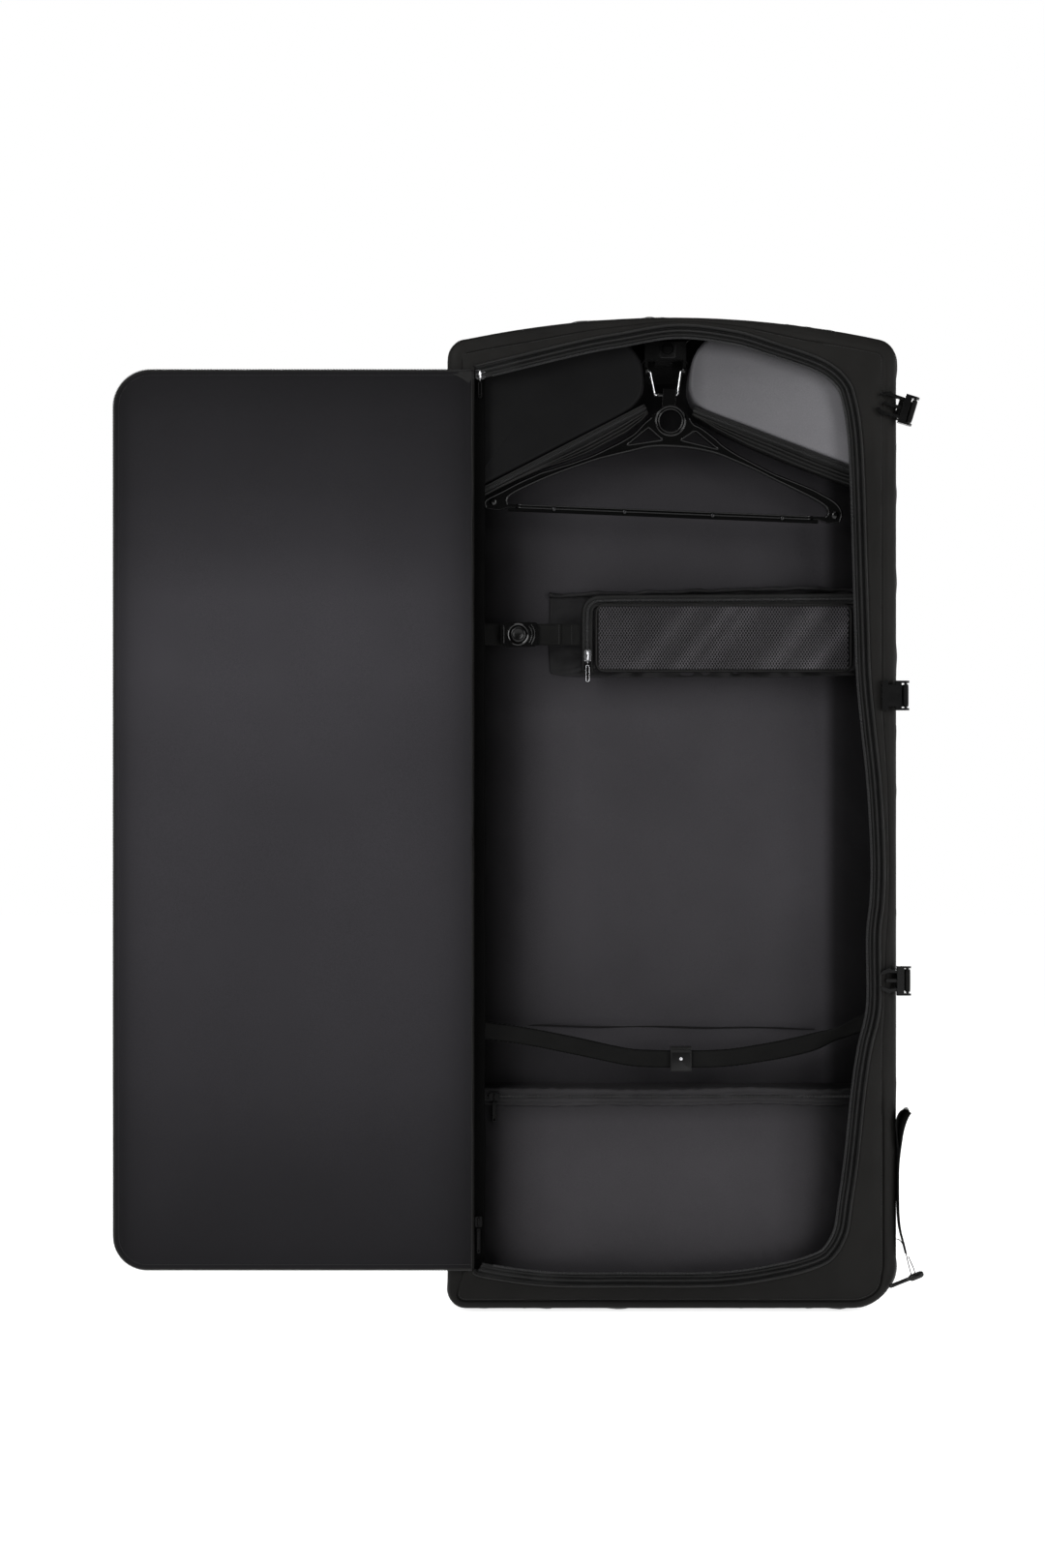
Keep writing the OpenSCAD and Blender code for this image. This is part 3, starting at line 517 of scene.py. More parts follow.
# ------------------------------------------------------------------ the case's outline and the zip's line
HW, CROWN, DROP, BOT = 252.0, 35.0, 0.000452, -1078.0
FRONT, BACK = -91.0, -6.0
CEN = np.array([0.0, -520.0])


def arc(c, r, a0, a1, n):
    a = np.radians(np.linspace(a0, a1, n))
    return np.stack([c[0] + r * np.cos(a), c[1] + r * np.sin(a)], axis=1)


def crown(x):
    return CROWN - DROP * np.asarray(x, float) ** 2


def outline():
    a = 11.6
    xr = HW - 24 + 24 * math.sin(math.radians(a))
    xl = HW - 22 + 22 * math.sin(math.radians(a))
    ca = math.cos(math.radians(a))
    xs = np.linspace(xr, -xl, 60)[1:-1]
    return np.vstack([
        arc((HW - 50, BOT + 50), 50, -90, 0, 30),
        arc((HW - 24, float(crown(xr)) - 24 * ca), 24, 0, 90 - a, 20),
        np.stack([xs, crown(xs)], axis=1),
        arc((-(HW - 22), float(crown(xl)) - 22 * ca), 22, 90 + a, 180, 20),
        arc((-(HW - 20), BOT + 20), 20, 180, 270, 20)])


NP = 760
OUT = at_path(outline(), n=NP, closed=True)
_t = unit(np.roll(OUT, -1, 0) - np.roll(OUT, 1, 0))
OUTN = np.stack([_t[:, 1], -_t[:, 0]], axis=1)

zip_pts = [[-222, -22], [-190, -14], [-103, 7], [-60, 15], [5, 25], [70, 18], [114, 5],
           [168, -14], [195, -35], [205, -60], [211, -98], [214, -153], [216, -218], [219, -315],
           [221, -370], [226, -424], [233, -493], [237, -571], [236, -620], [232, -660], [232, -738],
           [222, -786], [215, -833], [207, -910], [200, -960], [195, -992], [183, -1015], [166, -1028],
           [125, -1040], [57, -1050], [-48, -1051], [-141, -1050], [-214, -1040], [-222, -1033]]
ZL = at_path(catmull(np.array(zip_pts, float), 6), step=3.0)
ZT = tangents(ZL)
ZIN = np.stack([ZT[:, 1], -ZT[:, 0]], axis=1)      # towards the opening

closed_zip = at_path(np.vstack([ZL, [[-222, -1033], [-222, -22]]]), step=1.0, closed=True)
_a = np.arctan2(closed_zip[:, 1] - CEN[1], closed_zip[:, 0] - CEN[0])
_r = np.linalg.norm(closed_zip - CEN, axis=1)
_o = np.argsort(_a)
_a, _r = _a[_o], _r[_o]
_a = np.concatenate([_a - 2 * np.pi, _a, _a + 2 * np.pi])
_r = np.concatenate([_r, _r, _r])
ang = np.arctan2(OUT[:, 1] - CEN[1], OUT[:, 0] - CEN[0])
ZR = CEN + np.interp(ang, _a, _r)[:, None] * np.stack([np.cos(ang), np.sin(ang)], axis=1)


def both(o, *nodes):
    """A piece that stands for these CAD nodes, which it hides; its transform is baked into the mesh."""
    if nodes:
        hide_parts(*nodes)
    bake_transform(o)
    return o


# ------------------------------------------------------------------ outer shell
dist = np.linalg.norm(OUT - ZR, axis=1)
seam = np.minimum(15.0 - 6.0 * smoothstep(-1040, -1070, OUT[:, 1]), 0.5 * dist)
left = smoothstep(-180, -215, OUT[:, 0]) * smoothstep(10, -15, OUT[:, 1]) * smoothstep(-1072, -1050, OUT[:, 1])
low = np.clip(smoothstep(-800, -900, OUT[:, 1]), 0, 1)
puff = (1.0 + 1.2 * low * smoothstep(20, 40, dist)) * (1 - left)
groove = (0.5 + 1.5 * low) * (1 - left)
SEAMR = OUT - OUTN * seam[:, None]
rings = []
for s in (0.0, 0.06, 0.14, 0.24, 0.36, 0.48, 0.6, 0.72, 0.84, 0.93):
    p = ZR + (SEAMR - ZR) * s
    rings.append(xz(p, 0))
    rings[-1][:, 1] = FRONT - puff * math.sin(math.pi * min(1, s * 1.0)) ** 0.8
for dd, dy in ((1.4, -0.1), (0.6, 0.5), (0.0, 1.0), (-0.6, 0.5), (-1.4, -0.1)):
    p = OUT - OUTN * (seam + dd)[:, None]
    rings.append(xz(p, 0))
    rings[-1][:, 1] = FRONT + groove * max(dy, 0) - (0.25 * puff if dy < 0 else 0)
for a in (15, 30, 45, 60, 75, 90):
    s, c = math.sin(math.radians(a)), math.cos(math.radians(a))
    d = (seam - 1.6) * (1 - s)
    p = OUT - OUTN * d[:, None]
    rings.append(xz(p, FRONT + 7.0 * (1 - c)))
for y in np.linspace(-80, -14, 12):
    k = math.sin(math.pi * (-y - 10) / 75)
    rings.append(xz(OUT + OUTN * (1.2 * k), y))
for a in (20, 45, 70, 90):
    s, c = math.sin(math.radians(a)), math.cos(math.radians(a))
    rings.append(xz(OUT - OUTN * 4 * (1 - c), -10 + 4 * s))
for d, yy in ((8.0, 0.0), (9.2, -0.7), (10.4, 0.0)):
    rings.append(xz(OUT - OUTN * d, BACK + yy))
rings.append(xz(OUT - OUTN * 12.0, BACK - 0.2))
rings.append(xz(OUT - OUTN * 13.0, BACK - 1.2))
R = np.array(rings)
# wrinkles: fine on the border and the sides, much weaker where the hinge sits
wr = noisef(R * np.array([1, 1, 1]), 11, 26, 80, 14)
wr2 = noisef(R * np.array([1.0, 1.0, 0.5]), 12, 12, 26, 14)
amp = np.zeros(R.shape[:2])
amp[1:10] = 0.32
amp[10:15] = 0.25
amp[15:21] = 0.35
amp[21:33] = 0.8
amp[33:] = 0.3
edge_ring = np.concatenate([np.zeros(21), np.ones(12), np.zeros(len(R) - 33)])
amp *= (1 - 0.9 * left)[None]
hitch = 1 + 1.2 * np.exp(-((R[:, :, 2] + 550) / 25.0) ** 2)
R[:, :, 1] -= (amp * (0.7 * wr + 0.35 * wr2) * hitch) * (1 - edge_ring[:, None]) * np.where(np.arange(len(R)) > 33, -1, 1)[:, None]
side = (amp * (wr + 0.5 * wr2) * hitch * edge_ring[:, None])
R[:, :, 0] += side * OUTN[None, :, 0]
R[:, :, 2] += side * OUTN[None, :, 1]
nu, nv = R.shape[:2]
shell = make("case_shell", R.reshape(-1, 3), grid_faces(nu, nv, cv=True), M_SHELL)
both(shell, "upper_gusset", "lower_gusset", "upper_front_border", "lower_front_border", "upper_back_panel", "lower_back_panel",
     "upper_back_board", "lower_back_board")

# piping round the back edge and a stitched seam line on the front border
pipe = tube("back_piping", xz(OUT - OUTN * 3.2, -6.6), 1.5, M_BINDING, n=8, closed=True)
both(pipe)
keep = (OUT[:, 0] > -205) | (OUT[:, 1] > 8) | (OUT[:, 1] < -1060)
start_i = int(np.argmax(~keep))
order = (np.arange(NP) + start_i) % NP
order = order[keep[order]]
path = OUT[order] - OUTN[order] * (seam[order] + 2.6)[:, None]
st = stitch("border_stitches", xz(path, FRONT - 0.35 * puff[order] - 0.1), (0, -1, 0), 3.2, 2.3, 0.22, M_THREAD, lift=0.1)
both(st)

# ------------------------------------------------------------------ zip band round the opening
prof = np.array([(-2.8, -89.8), (-2.4, -91.3), (-1.5, -92.6), (-0.3, -93.0), (0.8, -92.6), (1.5, -91.2), (2.1, -89.4), (2.8, -89.2), (3.4, -90.6), (4.3, -91.9), (5.6, -92.3),
                 (6.8, -91.8), (7.5, -90.6), (8.1, -89.6), (8.6, -90.4), (9.2, -91.9), (10.1, -92.4), (11.0, -91.9), (11.5, -90.6), (12.4, -90.3), (13.8, -90.4), (14.2, -89.6), (13.6, -88.9), (6, -88.7), (-2.2, -88.9)])
ztop = smoothstep(-150, -190, ZL[:, 0]) * smoothstep(-100, -60, ZL[:, 1])
R = ZL[:, None] + ZIN[:, None] * prof[None, :, 0][:, :, None]
R = np.stack([R[:, :, 0], np.broadcast_to(prof[:, 1], R.shape[:2]), R[:, :, 1]], axis=2).copy()
wv = noisef(R, 21, 18, 60, 12)
R[:, :, 1] += wv * 0.28
ends = smoothstep(-105, -150, ZL[:, 0])[:, None] * smoothstep(-60, -100, ZL[:, 1])[:, None] + smoothstep(-165, -200, ZL[:, 0])[:, None] * smoothstep(-100, -60, ZL[:, 1])[:, None]
R[:, :, 1] = np.where(R[:, :, 1] < -91.0, -91.0 + (R[:, :, 1] + 91.0) * (1 - 0.85 * ends), R[:, :, 1])
curl = 0.8 * smoothstep(-880, -1000, ZL[:, 1]) * noisef(xz(ZL, 0), 22, 14, 30, 8)
R[:, 14:22, 1] += (curl[:, None]) * 0.5
band = loft("zip_band", R, M_TAPE, closed=True, cap=True)
both(band, "upper_zip_tape", "lower_zip_tape")
o = tube("zip_outer_piping", xz(at_path(ZL - ZIN * 1.2, step=4), -92.2) + np.array([0, 0, 0]), 1.25, M_PIPING, n=8)
both(o)
tp = at_path(ZL, step=1.5)
tt = tangents(tp)
tin = np.stack([tt[:, 1], -tt[:, 0]], axis=1)
c3 = xz(tp + tin * 13.4, -90.6)
far = c3[:, 0] > -202
teeth = beads("zip_teeth", c3[far], xz(tin, 0)[far], xz(tt, 0)[far], (0, -1, 0), 1.7, 0.48, 0.75, M_COIL)
both(teeth)
st = stitch("band_stitches", xz(ZL + ZIN * 5.6, -92.35), (0, -1, 0), 3.0, 2.2, 0.22, M_THREAD)
both(st)
# strip of black tape down the hinge inside the opening, the full height: low down it is the inner tape, higher up it is
# painted shade, a dark strip standing in for the shade beside the hinge
zz = np.linspace(-23, -1024, 150)
P = np.stack([-217.0 + 0.5 * noisef(np.stack([0 * zz, 0 * zz, zz], axis=1), 25, 60, 180, 8), np.full(150, -84.6), zz], axis=1)
hinge_tape_and_shade = ribbon("hinge_inner_tape_and_shade", P, (1, 0, 0), 14.0 + 0.8 * noisef(P, 26, 40, 160, 8), 1.0, M_BLACK_TAPE_AND_SHADE, K=7)
both(hinge_tape_and_shade)

# ------------------------------------------------------------------ lining: back sheet and side walls
IN = 3.5


def top_of(x):
    x = np.asarray(x, float)
    o = OUT - OUTN * IN
    up = o[OUTN[:, 1] > 0.03]
    up = up[np.argsort(up[:, 0])]
    return np.interp(x, up[:, 0], up[:, 1])


def bot_of(x):
    o = OUT - OUTN * IN
    dn = o[OUTN[:, 1] < -0.03]
    dn = dn[np.argsort(dn[:, 0])]
    return np.interp(x, dn[:, 0], dn[:, 1])


nx, nz = 110, 240
X = -(HW - IN) * np.cos(np.linspace(0.0, np.pi, nx)) * 0.35 + np.linspace(-(HW - IN), HW - IN, nx) * 0.65
G = np.zeros((nx, nz, 3))
tz = np.linspace(0, 1, nz)
for i, x in enumerate(X):
    G[i, :, 0] = x
    G[i, :, 2] = top_of(x) + (bot_of(x) - top_of(x)) * tz
soft = noisef(G * np.array([1, 1, 0.6]), 31, 90, 240, 10) * 1.1 + noisef(G, 32, 28, 60, 10) * 0.22
ed = smoothstep(0, 22, HW - IN - np.abs(G[:, :, 0]))
cre = np.exp(-((G[:, :, 2] - (-766 - 0.010 * G[:, :, 0])) / 1.6) ** 2) * smoothstep(-235, -200, G[:, :, 0]) * smoothstep(150, 60, G[:, :, 0])
led = 1.6 * smoothstep(-768, -765, G[:, :, 2] + 0.010 * G[:, :, 0]) * smoothstep(-700, -740, G[:, :, 2]) * smoothstep(190, 120, G[:, :, 0])
fold = np.exp(-((G[:, :, 2] + 550) / 5.0) ** 2)
G[:, :, 1] = -11.6 - ed * (0.9 + soft) - led + 1.5 * cre + 0.25 * fold
G[:, :, 1] = np.minimum(G[:, :, 1], -10.8)
lin = make("lining_back", G.reshape(-1, 3), grid_faces(nx, nz), M_LINING)
both(lin, "upper_lining", "lower_lining")
# a welt of dark gusset cloth under the lining's lip along the crease: partly the seam, partly painted shade deepening
# the crease's shadow line
xs = np.linspace(-212, 168, 120)
P = np.stack([xs, np.full(120, -13.3), -768.4 - 0.010 * xs + 0.4 * noisef(np.stack([xs, 0 * xs, 0 * xs], axis=1), 35, 60, 140, 6)], axis=1)
o = tube("lining_seam_welt_painted_shade", P, 1.0 * np.sin(np.linspace(0.15, np.pi - 0.15, 120)) ** 0.4, M_GUSSET, n=8)
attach(o, "lower_case")
rings = [xz(ZR, -89.9), xz(ZR - (ZR - (OUT - OUTN * IN)) * 0.5, -89.2), xz(OUT - OUTN * (IN + 3), -88.4)]
for y in np.linspace(-86, -11.5, 14):
    k = math.sin(math.pi * (-y - 11.5) / 74.5)
    rings.append(xz(OUT - OUTN * (IN + 2.0 * k), y))
R = np.array(rings)
sd = noisef(R, 41, 30, 90, 12) * 0.7
sd[:3] = 0
sd[-1] = 0
R[:, :, 0] -= sd * OUTN[None, :, 0]
R[:, :, 2] -= sd * OUTN[None, :, 1]
wall = loft("lining_walls", R, M_LINING, closed=True)
both(wall)

IN = 11.0
nx, nz = 90, 280
G = np.zeros((nx, nz, 3))
tz = np.linspace(0, 1, nz)
for i, x in enumerate(np.linspace(-(HW - IN), HW - IN, nx)):
    G[i, :, 0] = x
    G[i, :, 2] = top_of(x) + (bot_of(x) - top_of(x)) * tz
G[:, :, 1] = BACK - 0.25 + 0.35 * noisef(G * np.array([1, 1, 0.7]), 37, 90, 260, 10) + 0.12 * noisef(G, 38, 26, 60, 8) - 0.5 * np.exp(-((G[:, :, 2] + 550) / 3.0) ** 2)
G[:, :, 1] = np.minimum(G[:, :, 1], -5.7)
o = make("back_panel_cloth", G.reshape(-1, 3), grid_faces(nx, nz), M_SHELL)
both(o)
for k, z in enumerate((-546.5, -553.5)):
    o = stitch(f"back_fold_stitches_{k}", [[x, -5.75, z] for x in np.linspace(-236, 236, 60)], (0, 1, 0), 3.4, 2.4, 0.25, M_THREAD)
    both(o)

# ------------------------------------------------------------------ door: one soft panel over board, cut where the bag folds
DX0, DX1 = -626.4, -222.9
DT, DB = -25.2, -1033.2


def door_top(x, i=0.0):
    r = 42.0 - i
    x0 = DX0 + i
    d = np.clip(x0 + r - x, 0, r)
    return DT - i - r + np.sqrt(np.maximum(r * r - d * d, 0))


def door_bot(x, i=0.0):
    r = 38.0 - i
    x0 = DX0 + i
    d = np.clip(x0 + r - x, 0, r)
    return DB + i + r - np.sqrt(np.maximum(r * r - d * d, 0))


def door_grid(lo_part, i, nx, nz, face):
    """Points of one door face, inset by i, cut at the fold. face gives y from x, z."""
    u = np.linspace(0, 1, nx)
    u = 0.5 * u + 0.5 * (1 - np.cos(np.pi * u)) / 2
    u = u ** 1.25
    xs = DX0 + i + (DX1 - DX0 - 2 * i) * u
    G = np.zeros((nx, nz, 3))
    for k, x in enumerate(xs):
        zt, zb = float(door_top(x, i)), float(door_bot(x, i))
        if lo_part:
            z = -550 + (zb + 550) * (np.linspace(0, 1, nz) ** 0.9)
            z = -550 + (zb + 550) * (1 - (1 - np.linspace(0, 1, nz)) ** 1.25)
        else:
            z = zt + (-550 - zt) * (np.linspace(0, 1, nz) ** 1.25)
        G[k, :, 0], G[k, :, 2] = x, z
    G[:, :, 1] = face(G[:, :, 0], G[:, :, 2])
    return G


def edge_dist(x, z):
    """Distance from the door's outline, positive inside."""
    x, z = np.asarray(x, float), np.asarray(z, float)
    d = np.minimum(np.minimum(x - DX0, DX1 - x), np.minimum(DT - z, z - DB))
    for r, zc, sgn in ((42.0, DT - 42.0, 1), (38.0, DB + 38.0, -1)):
        cx = DX0 + r
        inside = (x < cx) & ((z - zc) * sgn > 0)
        dd = r - np.hypot(x - cx, z - zc)
        d = np.where(inside, np.minimum(d, dd), d)
    return d


def door_front(x, z):
    d = edge_dist(x, z)
    hem = 0.45 * np.exp(-((d - 3.2) / 2.6) ** 2)
    groove_ = -0.50 * np.exp(-((d - 7.2) / 1.3) ** 2)
    crown_ = 0.7 * (1 - np.exp(-np.clip(d - 8, 0, None) / 55.0))
    P = np.stack([x, 0 * x, z], axis=-1)
    w = noisef(P * np.array([1, 1, 0.55]), 51, 110, 320, 10) * 0.30 + noisef(P, 52, 18, 42, 10) * 0.10 * np.exp(-np.clip(d - 8, 0, None) / 18.0)
    tc = np.exp(-((x + 250) / 26.0) ** 2 - ((z + 48 - 0.25 * (x + 250)) / 5.0) ** 2) * 0.5
    return -98.0 - hem - groove_ - crown_ - w * smoothstep(8, 60, d) - tc


def door_back(x, z):
    d = edge_dist(x, z)
    P = np.stack([x, 0 * x, z], axis=-1)
    return -91.7 - 0.3 * smoothstep(0, 8, d) + 0.35 * np.exp(-((d - 9) / 1.2) ** 2) + 0.12 * noisef(P, 53, 60, 200, 8)


def door_half(name, lo_part):
    nx, nz, ins = 84, 110, 1.6
    A = door_grid(lo_part, ins, nx, nz, door_front)
    B = door_grid(lo_part, ins, nx, nz, door_back)
    off = nx * nz
    V = [A.reshape(-1, 3), B.reshape(-1, 3)]
    F = grid_faces(nx, nz) + grid_faces(nx, nz, off=off, flip=True)
    # rim between the faces, bulging out to the outline: free edge, then top or bottom edge, then hinge edge
    if lo_part:
        loop = [(0, j) for j in range(nz)] + [(i, nz - 1) for i in range(1, nx)] + [(nx - 1, j) for j in range(nz - 2, -1, -1)]
    else:
        loop = [(0, j) for j in range(nz - 1, -1, -1)] + [(i, 0) for i in range(1, nx)] + [(nx - 1, j) for j in range(1, nz)]
    ids = [i * nz + j for i, j in loop]
    fa, fb = A.reshape(-1, 3)[ids], B.reshape(-1, 3)[ids]
    m = (fa + fb) / 2
    t2 = np.gradient(m[:, [0, 2]], axis=0)
    n2 = unit(np.stack([t2[:, 1], -t2[:, 0]], axis=1))
    c = np.array([-424.0, -550.0])
    sgn = np.sign(((m[:, [0, 2]] - c) * n2).sum(1))
    n2 = n2 * sgn[:, None]
    e = loop
    for idx, (i, j) in enumerate(e):
        cut = (j == (0 if lo_part else nz - 1))
        if cut and i == 0:
            n2[idx] = (-1, 0)
        if cut and i == nx - 1:
            n2[idx] = (1, 0)
    rows = [ids]
    count = 2 * off
    for k, (s, q) in enumerate(((0.18, 0.75), (0.5, 1.0), (0.82, 0.75))):
        P = fa + (fb - fa) * s
        P = P + np.stack([n2[:, 0], 0 * n2[:, 0], n2[:, 1]], axis=1) * ins * q
        V.append(P)
        rows.append(list(range(count, count + len(ids))))
        count += len(ids)
    rows.append([i + off for i in ids])
    for a, b in zip(rows[:-1], rows[1:]):
        for k in range(len(ids) - 1):
            F.append((a[k], a[k + 1], b[k + 1], b[k]))
    # closing face at the cut
    cutj = 0 if lo_part else nz - 1
    for i in range(nx - 1):
        a, b = i * nz + cutj, (i + 1) * nz + cutj
        F.append((a, b, b + off, a + off))
    o = make(name, np.vstack(V), F, M_DOOR, fix=False)
    o.data.materials.append(M_SHELL)
    mats = np.zeros(len(o.data.polygons), np.int32)
    nf = len(grid_faces(nx, nz))
    mats[nf:] = 1
    o.data.polygons.foreach_set("material_index", mats)
    bm = bmesh.new()
    bm.from_mesh(o.data)
    bmesh.ops.recalc_face_normals(bm, faces=bm.faces)
    bm.to_mesh(o.data)
    bm.free()
    o.data.set_sharp_from_angle(angle=math.radians(55))
    return o


for name, lo_part, body, nodes in (("door_panel_upper", False, "door_upper", ("door_upper_cover", "door_upper_board", "door_upper_lining")),
                                   ("door_panel_lower", True, "door_lower", ("door_lower_cover", "door_lower_board", "door_lower_lining"))):
    o = door_half(name, lo_part)
    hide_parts(*nodes)
    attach(o, body)


def door_line(i, part, step=2.0):
    """The door's free outline inset by i, from the hinge along the top, down the free edge and back along the bottom."""
    r1, r2 = 42.0 - i, 38.0 - i
    x0 = DX0 + i
    P = np.vstack([[[DX1 - 2, DT - i]], arc((x0 + r1, DT - i - r1), r1, 90, 180, 24), [[x0, -550]]]) if part == "upper" else \
        np.vstack([[[x0, -550]], arc((x0 + r2, DB + i + r2), r2, 180, 270, 24), [[DX1 - 2, DB + i]]])
    return at_path(P, step=step)


for part, body in (("upper", "door_upper"), ("lower", "door_lower")):
    L = door_line(6.6, part)
    o = stitch("door_stitches_" + part, xz(L, door_front(L[:, 0], L[:, 1]) + 0.02), (0, -1, 0), 3.2, 2.3, 0.2, M_THREAD)
    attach(o, body)
    L = door_line(0.9, part, 1.6)
    T = tangents(L)
    Nn = np.stack([-T[:, 1], T[:, 0]], axis=1)
    o = beads("door_teeth_" + part, xz(L, -96.9), xz(Nn, 0), xz(T, 0), (0, -1, 0), 1.5, 0.5, 0.7, M_COIL)
    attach(o, body)
    L = door_line(2.2, part)
    o = tube("door_binding_" + part, xz(L, -97.75), 0.95, M_BINDING, n=8)
    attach(o, body)

# hinge: a stitched fold of cloth down the door's inner edge
for part, body, z0, z1 in (("upper", "door_upper", DT - 0.6, -550), ("lower", "door_lower", -550, DB + 0.6)):
    zz = np.linspace(z0, z1, 90)
    P = np.stack([np.full(90, -224.6), np.full(90, -97.4), zz], axis=1)
    P[:, 0] += 0.25 * noisef(P, 61, 30, 80, 8)
    o = tube("door_hinge_roll_" + part, P, 1.3, M_BINDING, n=8)
    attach(o, body)


tuck = [[-252, -27.0], [-240, -26.6], [-224.5, -26.6], [-223.4, -30], [-223.6, -43], [-228, -41], [-235, -36], [-243, -31.5]]
o = pillow("door_corner_tuck", tuck, -98.0, -98.35, 0.3, 0.1, M_BINDING, rings=6, seed=66, wr=0.25, wl=(8, 20), step=1.5)
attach(o, "door_upper")


# rims tucked in the door: soft strips that slide out to the zip as the door closes
def strip_from(name, P, y0, y1, body, node):
    o = plate(name, P, y0, y1, M_SHELL, bevel=0.25, seg=2)
    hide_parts(node)
    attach(o, body)
    return o


hx2 = -444.8
rim_top = [[-204, -68], [-103, -46], [-60, -38], [5, -28], [70, -35], [114, -48], [155, -62], [166, -70], [166, -100], [-204, -100]]
rim_up = [[100, -46], [136, -46], [145, -64], [152, -98], [155, -153], [157, -218], [160, -315], [162, -370], [167, -424], [174, -493], [178, -549], [100, -549]]
rim_low = [[100, -551], [178, -551], [177, -620], [173, -660], [173, -738], [163, -786], [156, -833], [148, -910], [141, -960], [136, -990], [126, -1012], [100, -1024]]


for nm, P, y0, y1, body, node in (("rim_top_cloth", rim_top, -93.8, -92.9, "rim_top", "door_rim_top"),
                                  ("rim_side_upper_cloth", rim_up, -95.0, -94.1, "rim_side_upper", "door_rim_side_upper"),
                                  ("rim_side_lower_cloth", rim_low, -95.0, -94.1, "rim_side_lower", "door_rim_side_lower")):
    Q = [[hx2 - q[0], q[1]] for q in P]
    a = np.array(Q)
    w, h = float(np.ptp(a[:, 0])) * MM, float(np.ptp(a[:, 1])) * MM
    strip_from(nm, Q, y0, y1, body, node)

# ------------------------------------------------------------------ corner pockets and their zips
left_pocket = [[-246, -25], [-240, -4], [-228, 4], [-150, 18], [-70, 24], [-52, 12], [-43, 3], [-31, -14], [-31, -60], [-212, -153], [-246, -170]]
right_pocket = [[30, 3], [40, 14], [60, 24], [150, 18], [228, 4], [240, -4], [246, -25], [246, -147], [199, -129], [27, -63], [19, -42], [23, -12]]
left_soft = [[-246, -25], [-241, -8], [-228, 3], [-190, 11], [-150, 17.5], [-108, 22], [-72, 23], [-56, 15], [-44, 3], [-34, -12], [-31, -28], [-31.5, -45], [-37, -57], [-50, -69],
             [-90, -90], [-131, -111], [-172, -132], [-212, -152], [-246, -169]]
right_soft = [[30, 2], [40, 13], [58, 22], [80, 23], [115, 21], [150, 17.5], [190, 11], [228, 3], [240, -6], [246, -25], [246, -85], [246, -146], [199, -128.5], [142, -107], [85, -85], [50, -72], [33, -64],
              [24, -54], [20, -40], [21, -25], [24, -10]]
o = pillow("corner_pocket_left_soft", catmull(left_soft + left_soft[:1], 3)[:-1], -11.6, -73.0, 5.0, 1.6, M_POCKET_L_PAINTED_SHADE, seed=71, wr=0.35)
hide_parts("corner_pocket_left"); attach(o, "upper_case")
o = pillow("corner_pocket_right_soft", catmull(right_soft + right_soft[:1], 3)[:-1], -11.6, -73.0, 5.0, 2.2, M_POCKET_R_PAINTED_HIGHLIGHT, seed=73, wr=0.30)
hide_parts("corner_pocket_right"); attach(o, "upper_case")
